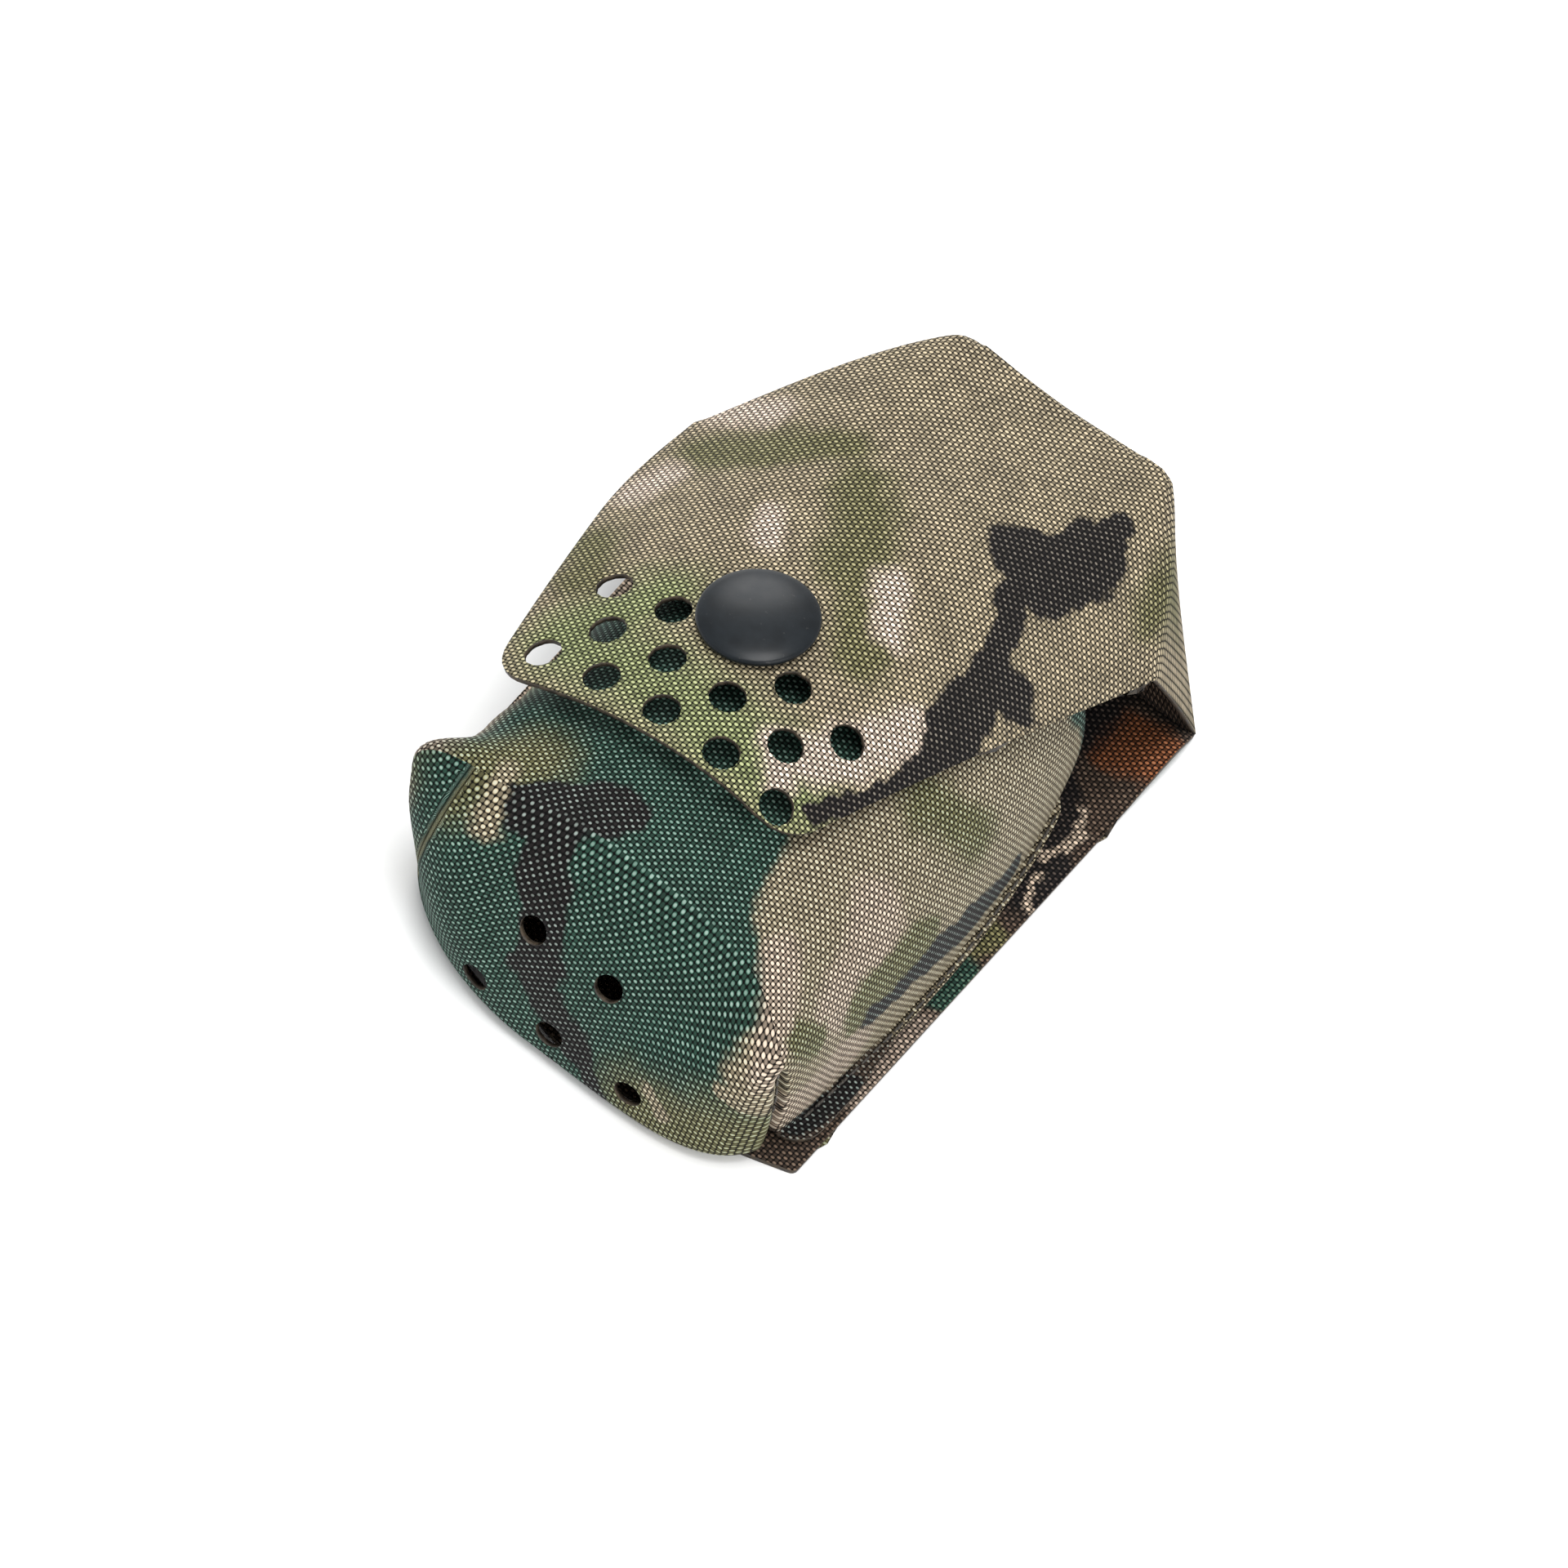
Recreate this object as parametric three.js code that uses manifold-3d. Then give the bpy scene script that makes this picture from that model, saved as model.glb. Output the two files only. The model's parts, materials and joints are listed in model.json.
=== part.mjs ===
// Snap-flap field pouch cut from double-faced laminate cloth, lying on its back panel.
// Millimetres. +X is the wearer's right-hand edge seen from the front, +Y runs from the rounded
// bottom to the top fold, +Z points out of the pouch's front.
import * as THREE from "three";
import { mergeVertices } from "three/addons/utils/BufferGeometryUtils.js";
import Module from "manifold-3d";

const wasm = await Module();
wasm.setup();

// ---- driving dimensions ----
const SHEET = 0.9; // laminate thickness
const REST_GAP = 0.3; // clearance between pieces that rest on each other
const PANEL_HALF_WIDTH = 32.5;
const PANEL_LENGTH = 86; // straight side of the back panel, corner to top fold
const PANEL_BOTTOM_BULGE = 8; // how far the rounded bottom runs past the panel's corners
const BAG_HALF_WIDTH = 29; // at the seams
const BAG_MOUTH_HALF_WIDTH = 25.5;
const BAG_HEIGHT = 31; // crest of the bag above its seams
const BAG_ROUNDNESS = 2.6; // section exponent, 2 is an ellipse
const BAG_MOUTH_INSET = 17; // mouth edge, measured down from the top fold
const NOSE_DEPTH = 11; // length of the rounded bottom end
const FLANGE_WIDTH = 3;
const CREST_FALL = 0.0029; // 1/mm, how fast the crest drops towards the top fold
const CREST_BELOW_SNAP = 5; // crown of the bag and flap, measured down from the snap
const FLAP_GAP = 4.7; // bag cloth to flap cloth, the snap's closed height
const FLAP_VAULT = 31; // half the vault radius of the flap across its width
const FLAP_TIP_HALF_WIDTH = 22;
const FLAP_WIDE_HALF_WIDTH = 32;
const FLAP_CREASE_HALF_WIDTH = 16;
const FLAP_LENGTH = 82.5; // crease to tip edge
const FLAP_CHAMFER_LENGTH = 25; // crease to the widest point
const FLAP_TIP_RADIUS = 5.5;
const FLAP_SKEW = -7.6; // degrees, the flap is buttoned a little to the left
const FLAP_SHIFT = -1.8; // middle of the crease, left of the panel's middle
const CREASE_OVERHANG = 7.5; // the crease stands out past the top fold
const SNAP_FROM_TIP = 24.5;
const CAP_RADIUS = 7.6;
const CAP_RISE = 2.3;
const POST_RADIUS = 1.7;
const STUD_FLANGE_RADIUS = 5.2;
const STUD_KNOB_RADIUS = 2.7;
const STUD_KNOB_RISE = 1.2;
const SOCKET_RADIUS = 5.7;
const WASHER_RADIUS = 4.2;
const WASHER_SEAT = 1.1; // the flat washer spans the hollow side of the bag's crown
const PART_THICKNESS = 0.7; // stamped brass flanges
const STUD_SEAT = 0.35; // the stud's flat flange bridges the crown of the bag
const VENT_RADIUS = 2.45;
const VENT_PITCH = 9.5;
const VENT_ROW_STEP = 7;
const VENT_FROM_TIP = 5.4;
const VENT_CAP_LAND = 0.25; // cloth left between a vent and the cap's rim
const DRAIN_RADIUS = 2.1;
const DRAIN_PITCH = 11.5;
const DRAIN_ROW_STEP = 8;
const DRAIN_LOW = 5.2; // height of the lowest drain row
const THREAD_RADIUS = 0.25;

// ---- sizes that follow ----
const TOP_Y = PANEL_LENGTH / 2;
const BOTTOM_Y = -PANEL_LENGTH / 2;
const MOUTH_Y = TOP_Y - BAG_MOUTH_INSET;
const BAG_BASE_Z = SHEET + REST_GAP;
const BAG_CREST_Z = BAG_BASE_Z + BAG_HEIGHT;
const FLAP_CREST_Z = BAG_CREST_Z + FLAP_GAP + SHEET;
const CREASE_Y = TOP_Y + CREASE_OVERHANG;
const SNAP_RUN = FLAP_LENGTH - SNAP_FROM_TIP; // crease to snap, along the flap
const SKEW = THREE.MathUtils.degToRad(FLAP_SKEW);
const CREST_Y = CREASE_Y - SNAP_RUN * Math.cos(SKEW) - CREST_BELOW_SNAP;
const NOSE_START_Y = BOTTOM_Y - PANEL_BOTTOM_BULGE + NOSE_DEPTH;

// ---- helpers ----
function toSolid(geometry) {
  geometry.deleteAttribute("normal");
  geometry.deleteAttribute("uv");
  const merged = mergeVertices(geometry, 1e-4);
  return new wasm.Manifold(new wasm.Mesh({
    numProp: 3,
    vertProperties: new Float32Array(merged.attributes.position.array),
    triVerts: new Uint32Array(merged.index.array),
  }));
}

function toGeometry(solid) {
  const mesh = solid.getMesh();
  const geometry = new THREE.BufferGeometry();
  geometry.setAttribute("position", new THREE.BufferAttribute(new Float32Array(mesh.vertProperties), 3));
  geometry.setIndex(new THREE.BufferAttribute(new Uint32Array(mesh.triVerts), 1));
  return geometry;
}

// A closed skin over a list of equal-length rings, with a flat cap on each end.
function loft(rings) {
  const count = rings[0].length;
  const positions = rings.flat(2);
  const faces = [];
  for (let i = 0; i + 1 < rings.length; i += 1) {
    for (let j = 0; j < count; j += 1) {
      const a = i * count + j;
      const b = i * count + ((j + 1) % count);
      faces.push(a, b, b + count, a, b + count, a + count);
    }
  }
  const last = (rings.length - 1) * count;
  for (let j = 1; j + 1 < count; j += 1) {
    faces.push(0, j + 1, j);
    faces.push(last, last + j, last + j + 1);
  }
  const geometry = new THREE.BufferGeometry();
  geometry.setAttribute("position", new THREE.Float32BufferAttribute(positions, 3));
  geometry.setIndex(faces);
  return toSolid(geometry);
}

// A sheet of even thickness whose top face follows height(x, y).
function curvedSheet(half, y0, y1, columns, rows, height) {
  const rings = [];
  for (let r = 0; r <= rows; r += 1) {
    const y = y0 + ((y1 - y0) * r) / rows;
    const ring = [];
    for (let c = 0; c <= columns; c += 1) {
      const x = -half + (2 * half * c) / columns;
      ring.push([x, y, height(x, y)]);
    }
    for (let c = columns; c >= 0; c -= 1) {
      const x = -half + (2 * half * c) / columns;
      ring.push([x, y, height(x, y) - SHEET]);
    }
    rings.push(ring);
  }
  return loft(rings);
}

function prism(shape, low, high, curveSegments = 6) {
  const geometry = new THREE.ExtrudeGeometry(shape, { depth: high - low, bevelEnabled: false, curveSegments });
  geometry.translate(0, 0, low);
  return toSolid(geometry);
}

function rod(radius, length, sides = 16) {
  return new THREE.CylinderGeometry(radius, radius, length, sides).rotateX(Math.PI / 2);
}

function placed(geometry, matrix) {
  return toSolid(geometry.applyMatrix4(matrix));
}

function tube(points, radius, steps) {
  const outline = new THREE.Shape();
  outline.absarc(0, 0, radius, 0, 2 * Math.PI);
  const path = new THREE.CatmullRomCurve3(points);
  return new THREE.ExtrudeGeometry(outline, { extrudePath: path, steps, curveSegments: 4 });
}

// ---- surfaces ----
function crestFall(y) {
  return CREST_FALL * (y - CREST_Y) ** 2;
}

function flapHeight(x, y) {
  return FLAP_CREST_Z - crestFall(y) - x ** 2 / (2 * FLAP_VAULT);
}

function bagSection(y, inset) {
  const toMouth = THREE.MathUtils.clamp((y - CREST_Y) / (MOUTH_Y - CREST_Y), 0, 1);
  const along = THREE.MathUtils.clamp((NOSE_START_Y - y) / (NOSE_DEPTH - inset), 0, 1);
  const nose = Math.sqrt(Math.max(1 - along ** 2, 0));
  const half = THREE.MathUtils.lerp(BAG_HALF_WIDTH, BAG_MOUTH_HALF_WIDTH, toMouth ** 2) - inset;
  const crest = BAG_HEIGHT - inset - crestFall(y) * (y > CREST_Y ? 1 : 0.6);
  return { half: half * (0.55 + 0.45 * nose), crest: crest * (0.3 + 0.7 * nose) };
}

function bagHeight(x, y) {
  const { half, crest } = bagSection(y, 0);
  return BAG_BASE_Z + crest * (1 - Math.abs(x / half) ** BAG_ROUNDNESS) ** (1 / BAG_ROUNDNESS);
}

function bagRing(y, inset, floor) {
  const { half, crest } = bagSection(y, inset);
  const ring = [];
  const steps = 22;
  for (let i = 0; i <= steps; i += 1) {
    const angle = (Math.PI * i) / steps;
    const x = Math.sign(Math.cos(angle)) * half * Math.abs(Math.cos(angle)) ** (2 / BAG_ROUNDNESS);
    const z = crest * Math.max(Math.sin(angle), 0) ** (2 / BAG_ROUNDNESS);
    ring.push([x, y, BAG_BASE_Z + z]);
  }
  ring.push([-half, y, floor]);
  ring.push([half, y, floor]);
  return ring;
}

function bagBody(inset, mouthY, floor) {
  const rings = [];
  const noseSteps = 7;
  for (let i = noseSteps; i >= 1; i -= 1) {
    const along = Math.sin((i / noseSteps) * Math.PI * 0.5 * 0.97);
    rings.push(bagRing(NOSE_START_Y - along * (NOSE_DEPTH - inset), inset, floor));
  }
  const bodySteps = 8;
  for (let i = 0; i <= bodySteps; i += 1) {
    rings.push(bagRing(THREE.MathUtils.lerp(NOSE_START_Y, mouthY, i / bodySteps), inset, floor));
  }
  return loft(rings.map((ring) => ring.slice().reverse()));
}

// ---- outlines ----
function panelOutline() {
  const shape = new THREE.Shape();
  shape.moveTo(-PANEL_HALF_WIDTH, TOP_Y);
  shape.lineTo(-PANEL_HALF_WIDTH, BOTTOM_Y);
  shape.quadraticCurveTo(0, BOTTOM_Y - 2 * PANEL_BOTTOM_BULGE, PANEL_HALF_WIDTH, BOTTOM_Y);
  shape.lineTo(PANEL_HALF_WIDTH, TOP_Y);
  shape.closePath();
  return shape;
}

// The flap's own frame has its crease on y = 0 and its tip towards -y.
function flapOutline() {
  const wideY = -FLAP_CHAMFER_LENGTH;
  const tipY = -FLAP_LENGTH;
  const shape = new THREE.Shape();
  shape.moveTo(-FLAP_CREASE_HALF_WIDTH, 0);
  shape.lineTo(-FLAP_WIDE_HALF_WIDTH, wideY);
  shape.lineTo(-FLAP_TIP_HALF_WIDTH - 0.2, tipY + FLAP_TIP_RADIUS);
  shape.quadraticCurveTo(-FLAP_TIP_HALF_WIDTH, tipY, -FLAP_TIP_HALF_WIDTH + FLAP_TIP_RADIUS, tipY);
  shape.lineTo(FLAP_TIP_HALF_WIDTH - FLAP_TIP_RADIUS, tipY);
  shape.quadraticCurveTo(FLAP_TIP_HALF_WIDTH, tipY, FLAP_TIP_HALF_WIDTH + 0.2, tipY + FLAP_TIP_RADIUS);
  shape.lineTo(FLAP_WIDE_HALF_WIDTH, wideY);
  shape.lineTo(FLAP_CREASE_HALF_WIDTH, 0);
  shape.closePath();
  const snapY = -SNAP_RUN;
  addHole(shape, 0, snapY, POST_RADIUS + REST_GAP);
  for (const [row, columns] of [[0, 5], [1, 4], [2, 5]]) {
    for (let column = 0; column < columns; column += 1) {
      const x = (column - (columns - 1) / 2) * VENT_PITCH;
      const y = tipY + VENT_FROM_TIP + row * VENT_ROW_STEP;
      if (Math.hypot(x, y - snapY) > CAP_RADIUS + VENT_CAP_LAND) {
        addHole(shape, x, y, VENT_RADIUS);
      }
    }
  }
  return shape;
}

function addHole(shape, x, y, radius) {
  const hole = new THREE.Path();
  hole.absarc(x, y, radius, 0, 2 * Math.PI, true);
  shape.holes.push(hole);
}

// ---- placing ----
const flapFrame = new THREE.Matrix4().makeTranslation(FLAP_SHIFT, CREASE_Y, 0)
  .multiply(new THREE.Matrix4().makeRotationZ(SKEW));
const snapSpot = new THREE.Vector3(0, -SNAP_RUN, 0).applyMatrix4(flapFrame);
const bagSlope = bagHeight(snapSpot.x + 0.5, snapSpot.y) - bagHeight(snapSpot.x - 0.5, snapSpot.y);
const snapSlope = (Math.atan(-snapSpot.x / FLAP_VAULT) + Math.atan(bagSlope)) / 2;

// The snap's own frame has z = 0 on the top face of the flap, with +z out through the cap.
const snapFrame = new THREE.Matrix4().makeTranslation(snapSpot.x, snapSpot.y, flapHeight(snapSpot.x, snapSpot.y))
  .multiply(new THREE.Matrix4().makeRotationY(-snapSlope));
const studFaceZ = (bagHeight(snapSpot.x, snapSpot.y) - flapHeight(snapSpot.x, snapSpot.y)) * Math.cos(snapSlope)
  + STUD_SEAT;

// ---- cloth ----
function makeBackPanel() {
  return prism(panelOutline(), 0, SHEET, 10);
}

function makeTopWall() {
  const low = new THREE.Vector3(0, TOP_Y + REST_GAP, SHEET);
  const crease = flapHeight(0, CREASE_Y) - SHEET - REST_GAP;
  const rise = Math.hypot(crease - low.z, CREASE_OVERHANG);
  const shape = new THREE.Shape();
  shape.moveTo(-PANEL_HALF_WIDTH, 0);
  shape.lineTo(PANEL_HALF_WIDTH, 0);
  const vaultDrop = FLAP_CREASE_HALF_WIDTH ** 2 / (2 * FLAP_VAULT) + SHEET;
  const shoulder = rise - vaultDrop;
  shape.quadraticCurveTo(PANEL_HALF_WIDTH * 0.9, rise * 0.6, FLAP_CREASE_HALF_WIDTH, shoulder);
  shape.quadraticCurveTo(0, rise + vaultDrop - SHEET, -FLAP_CREASE_HALF_WIDTH, shoulder);
  shape.quadraticCurveTo(-PANEL_HALF_WIDTH * 0.9, rise * 0.6, -PANEL_HALF_WIDTH, 0);
  const lean = Math.atan2(crease - low.z, CREASE_OVERHANG);
  const geometry = new THREE.ExtrudeGeometry(shape, { depth: SHEET, bevelEnabled: false, curveSegments: 6 });
  geometry.rotateX(lean).translate(0, low.y + SHEET, low.z - SHEET * 0.4);
  return toSolid(geometry);
}

function makeFlap() {
  const blank = curvedSheet(FLAP_WIDE_HALF_WIDTH + 8, CREASE_Y - FLAP_LENGTH - 4, CREASE_Y + 4, 28, 18, flapHeight);
  const outline = prism(flapOutline(), -2, FLAP_CREST_Z + 4, 5).transform(flapFrame.elements);
  return blank.intersect(outline);
}

function makeBagShell() {
  const outer = bagBody(0, MOUTH_Y, BAG_BASE_Z);
  const inner = bagBody(SHEET, MOUTH_Y + 5, BAG_BASE_Z - 3);
  let shell = outer.subtract(inner);
  const flangeLength = MOUTH_Y - NOSE_START_Y - 6;
  for (const side of [-1, 1]) {
    const inside = BAG_MOUTH_HALF_WIDTH - SHEET * 0.5;
    const flange = new THREE.BoxGeometry(BAG_HALF_WIDTH + FLANGE_WIDTH - inside, flangeLength, SHEET);
    flange.translate(
      side * (inside + BAG_HALF_WIDTH + FLANGE_WIDTH) / 2,
      NOSE_START_Y + 3 + flangeLength / 2,
      BAG_BASE_Z + SHEET / 2,
    );
    shell = shell.add(toSolid(flange).subtract(inner));
  }
  for (const [row, columns] of [[0, 2], [1, 3], [2, 2]]) {
    for (let column = 0; column < columns; column += 1) {
      const x = (column - (columns - 1) / 2) * DRAIN_PITCH;
      const z = DRAIN_LOW + row * DRAIN_ROW_STEP;
      const drill = new THREE.CylinderGeometry(DRAIN_RADIUS, DRAIN_RADIUS, NOSE_DEPTH, 12);
      drill.translate(x, NOSE_START_Y - NOSE_DEPTH / 2 - 1, z);
      shell = shell.subtract(toSolid(drill));
    }
  }
  const bore = rod(POST_RADIUS + REST_GAP, 8).translate(0, 0, studFaceZ);
  return shell.subtract(placed(bore, snapFrame));
}

// ---- snap fastener ----
function makeCap() {
  const profile = [
    [0, -SHEET - 1.0],
    [POST_RADIUS, -SHEET - 1.0],
    [POST_RADIUS, REST_GAP],
    [CAP_RADIUS - 0.6, REST_GAP],
    [CAP_RADIUS, REST_GAP + 0.5],
    [CAP_RADIUS - 0.5, REST_GAP + 1.1],
    [CAP_RADIUS * 0.7, REST_GAP + CAP_RISE * 0.8],
    [CAP_RADIUS * 0.36, REST_GAP + CAP_RISE * 0.96],
    [0, REST_GAP + CAP_RISE],
  ];
  return turned(profile, 28);
}

function makeSocket() {
  const low = studFaceZ + REST_GAP * 2 + PART_THICKNESS;
  const high = -SHEET - 0.8;
  const bore = STUD_KNOB_RADIUS + REST_GAP;
  return turned([[bore, low], [SOCKET_RADIUS, low], [SOCKET_RADIUS, high - 0.5],
    [SOCKET_RADIUS - 0.8, high], [bore, high], [bore, low]], 24);
}

function makeStud() {
  const low = studFaceZ + REST_GAP;
  const knobTop = low + PART_THICKNESS + STUD_KNOB_RISE;
  return turned([[0, low], [STUD_FLANGE_RADIUS, low], [STUD_FLANGE_RADIUS, low + PART_THICKNESS],
    [STUD_KNOB_RADIUS - 0.4, low + PART_THICKNESS], [STUD_KNOB_RADIUS, knobTop - 0.7],
    [STUD_KNOB_RADIUS - 0.5, knobTop], [0, knobTop]], 24);
}

function makeEyelet() {
  const high = studFaceZ;
  const washerTop = studFaceZ - STUD_SEAT - SHEET - WASHER_SEAT;
  return turned([[0, washerTop - PART_THICKNESS], [WASHER_RADIUS, washerTop - PART_THICKNESS],
    [WASHER_RADIUS, washerTop], [POST_RADIUS, washerTop], [POST_RADIUS, high], [0, high]], 24);
}

function turned(profile, sides) {
  const geometry = new THREE.LatheGeometry(profile.map(([r, z]) => new THREE.Vector2(r, z)), sides);
  return placed(geometry.rotateX(Math.PI / 2), snapFrame);
}

// ---- sewing thread ----
function makeSeamThread(side) {
  const x = side * (BAG_HALF_WIDTH + FLANGE_WIDTH * 0.5);
  const z = BAG_BASE_Z + SHEET + REST_GAP + THREAD_RADIUS;
  const ends = [new THREE.Vector3(x, NOSE_START_Y + 4, z), new THREE.Vector3(x, MOUTH_Y - 4, z)];
  return toSolid(tube(ends, THREAD_RADIUS, 2));
}

function makeDartThread(side) {
  const y = NOSE_START_Y - NOSE_DEPTH * 0.35;
  const points = [];
  for (const angleDeg of [10, 18, 26, 34]) {
    const angle = THREE.MathUtils.degToRad(angleDeg);
    const { half, crest } = bagSection(y, -REST_GAP - THREAD_RADIUS * 2);
    points.push(new THREE.Vector3(
      side * half * Math.cos(angle) ** (2 / BAG_ROUNDNESS),
      y - REST_GAP,
      BAG_BASE_Z + crest * Math.sin(angle) ** (2 / BAG_ROUNDNESS),
    ));
  }
  return toSolid(tube(points, THREAD_RADIUS, 6));
}

// ---- assembly ----
const CLOTH = { roughness: 0.85, metalness: 0 };
const METAL = { roughness: 0.35, metalness: 0.6 };
const THREAD = { roughness: 0.6, metalness: 0 };
const pieces = [
  ["back_panel", makeBackPanel(), 0x8a7a5c, CLOTH],
  ["top_wall", makeTopWall(), 0x9b8c6c, CLOTH],
  ["bag_shell", makeBagShell(), 0x4f6a4f, CLOTH],
  ["flap", makeFlap(), 0xa39675, CLOTH],
  ["snap_cap", makeCap(), 0x15171a, METAL],
  ["snap_socket", makeSocket(), 0x202225, METAL],
  ["snap_stud", makeStud(), 0x202225, METAL],
  ["stud_eyelet", makeEyelet(), 0x202225, METAL],
  ["seam_thread_left", makeSeamThread(-1), 0x2b2721, THREAD],
  ["seam_thread_right", makeSeamThread(1), 0x2b2721, THREAD],
  ["dart_thread_left", makeDartThread(-1), 0x2b2721, THREAD],
  ["dart_thread_right", makeDartThread(1), 0x2b2721, THREAD],
];

const pouch = new THREE.Group();
for (const [name, solid, color, finish] of pieces) {
  const mesh = new THREE.Mesh(toGeometry(solid), new THREE.MeshStandardMaterial({ color, ...finish }));
  mesh.name = name;
  pouch.add(mesh);
}

export default pouch;
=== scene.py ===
"""Snap-flap field pouch in camouflage laminate cloth, dressed over its CAD frame.

Lengths below are millimetres until a mesh is handed to Blender. +X is the pouch's right-hand edge seen
from the front, +Y runs from the rounded bottom to the top fold, +Z points out of the front.
"""

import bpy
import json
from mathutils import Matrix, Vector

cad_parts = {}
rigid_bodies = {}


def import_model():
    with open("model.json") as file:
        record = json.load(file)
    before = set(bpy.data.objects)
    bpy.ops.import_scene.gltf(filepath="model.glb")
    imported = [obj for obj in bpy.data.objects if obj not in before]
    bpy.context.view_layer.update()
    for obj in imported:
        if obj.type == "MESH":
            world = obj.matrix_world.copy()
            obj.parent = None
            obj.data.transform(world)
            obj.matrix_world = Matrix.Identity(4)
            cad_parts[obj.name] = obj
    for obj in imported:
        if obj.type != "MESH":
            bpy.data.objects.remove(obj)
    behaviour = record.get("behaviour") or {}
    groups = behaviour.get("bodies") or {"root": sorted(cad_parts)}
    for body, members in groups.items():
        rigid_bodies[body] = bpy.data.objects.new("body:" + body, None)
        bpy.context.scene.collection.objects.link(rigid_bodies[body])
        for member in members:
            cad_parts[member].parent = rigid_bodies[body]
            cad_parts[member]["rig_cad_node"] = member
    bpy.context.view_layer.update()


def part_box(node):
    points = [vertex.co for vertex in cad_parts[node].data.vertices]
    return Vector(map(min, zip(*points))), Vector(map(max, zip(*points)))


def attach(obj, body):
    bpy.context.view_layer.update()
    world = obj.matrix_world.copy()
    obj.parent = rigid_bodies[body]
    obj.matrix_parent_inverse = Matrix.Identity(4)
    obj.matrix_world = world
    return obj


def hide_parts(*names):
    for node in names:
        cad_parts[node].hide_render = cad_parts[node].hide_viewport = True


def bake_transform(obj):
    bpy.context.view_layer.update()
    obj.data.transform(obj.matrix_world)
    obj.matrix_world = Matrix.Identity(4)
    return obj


bl_info = {
    "name": "Snap-Flap Field Pouch",
    "version": (1, 0, 0),
    "blender": (4, 5, 0),
    "location": "View3D > Sidebar > Pouch",
    "description": "Builds the cloth, snap, stitching and studio of a laminate snap-flap pouch",
    "category": "Add Mesh",
}

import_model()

import json
import math

import bmesh
import bpy
import numpy as np
from mathutils import Matrix, Vector
from mathutils.geometry import delaunay_2d_cdt

MM = 0.001
UV_NAME = "cloth_mm"


# ---------------------------------------------------------------- sizes taken from the frame
def node_box_mm(name):
    low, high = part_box(name)
    return low / MM, high / MM


PANEL_LOW, PANEL_HIGH = node_box_mm("back_panel")
BAG_LOW, BAG_HIGH = node_box_mm("bag_shell")
FLAP_LOW, FLAP_HIGH = node_box_mm("flap")
WALL_LOW, WALL_HIGH = node_box_mm("top_wall")
SEAM_LOW, SEAM_HIGH = node_box_mm("seam_thread_right")
DART_LOW, DART_HIGH = node_box_mm("dart_thread_right")

PANEL_HALF = PANEL_HIGH.x
TOP_Y = PANEL_HIGH.y
MOUTH_Y = BAG_HIGH.y
BASE_Z = BAG_LOW.z
CREST_Z = BAG_HIGH.z
FLAP_CREST_Z = FLAP_HIGH.z - 0.4
CREST_Y = -12.0

# ---------------------------------------------------------------- shape of the cloth
NOSE_START = -32.0
NOSE_DEPTH = 20.0
BAG_HALF = 29.7
MOUTH_PINCH = 4.8
SECTION_POWER = 2.6
CREST_FALL = 0.0027
DART_ANGLE = math.radians(28)
DART_TOP_TURN = math.radians(22)
DART_FOOT_TURN = math.radians(17.6)
FLANGE_EDGE = 32.6
FLANGE_Z = 1.95
FLANGE_LIP = 1.1
LIP_RADIUS = 2.6

FLAP_FALL = 0.0022
VAULT_LEFT = 42.0
VAULT_RIGHT = 27.0
CREASE_LIFT = 2.4
SHOULDER_DROP = 3.2
CREASE_VAULT = 3.6
CREASE_HOLLOW = 0.9
CREASE_SOFTNESS = 1.5
CREASE_MIDDLE = -2.0
# The flap's corners on its own curved surface: distance round the vault from its crest line, and y.
FLAP_TIP_RIGHT = (11.4, -29.2)
FLAP_TIP_LEFT = (-34.2, -28.4)
FLAP_SHOULDER_RIGHT = (32.0, 33.0)
FLAP_SHOULDER_LEFT = (-40.2, 25.0)
FLAP_SIDE_LEFT = (-42.0, 12.0)
SIDE_ROUNDING = 9.0
CREASE_RIGHT = (13.8, 54.3)
CREASE_LEFT = (-17.5, 52.6)
TIP_ROUNDING = 5.5
CREASE_ROUNDING = 2.6
VENT_ROWS = ((-4.5, 5), (-11.3, 4), (-18.0, 5))
FLAP_TURN = math.radians(-4.5)


def blend_value(a, b, t):
    return a + (b - a) * t


def ease(low, high, value):
    t = min(max((value - low) / (high - low), 0.0), 1.0)
    return t * t * (3 - 2 * t)


def bell(value, centre, width):
    return math.exp(-(((value - centre) / width) ** 2))


def power(value, exponent):
    return math.copysign(abs(value) ** exponent, value)


# ---------------------------------------------------------------- property groups
class ClothSizes(bpy.types.PropertyGroup):
    """Sizes and finish of the laminate cloth."""

    thickness: bpy.props.FloatProperty(
        name="Laminate thickness", description="Both plies and the film between them",
        default=PANEL_HIGH.z * MM * 0.75, min=0.0004, max=0.002, unit="LENGTH", precision=5,
    )
    warp_pitch: bpy.props.FloatProperty(
        name="Warp pitch", description="Width of one lengthwise yarn",
        default=0.00062, min=0.0002, max=0.002, unit="LENGTH", precision=5,
    )
    weft_pitch: bpy.props.FloatProperty(
        name="Weft pitch", description="Width of one crosswise yarn",
        default=0.00050, min=0.0002, max=0.002, unit="LENGTH", precision=5,
    )
    vent_radius: bpy.props.FloatProperty(
        name="Vent radius", description="Laser-cut holes at the flap's tip",
        default=0.00235, min=0.001, max=0.004, unit="LENGTH", precision=5,
    )
    vent_pitch: bpy.props.FloatProperty(
        name="Vent pitch", description="Distance between vents in a row",
        default=0.0093, min=0.006, max=0.02, unit="LENGTH", precision=5,
    )
    drain_radius: bpy.props.FloatProperty(
        name="Drain radius", description="Laser-cut holes in the rounded bottom",
        default=0.0019, min=0.001, max=0.004, unit="LENGTH", precision=5,
    )


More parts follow.
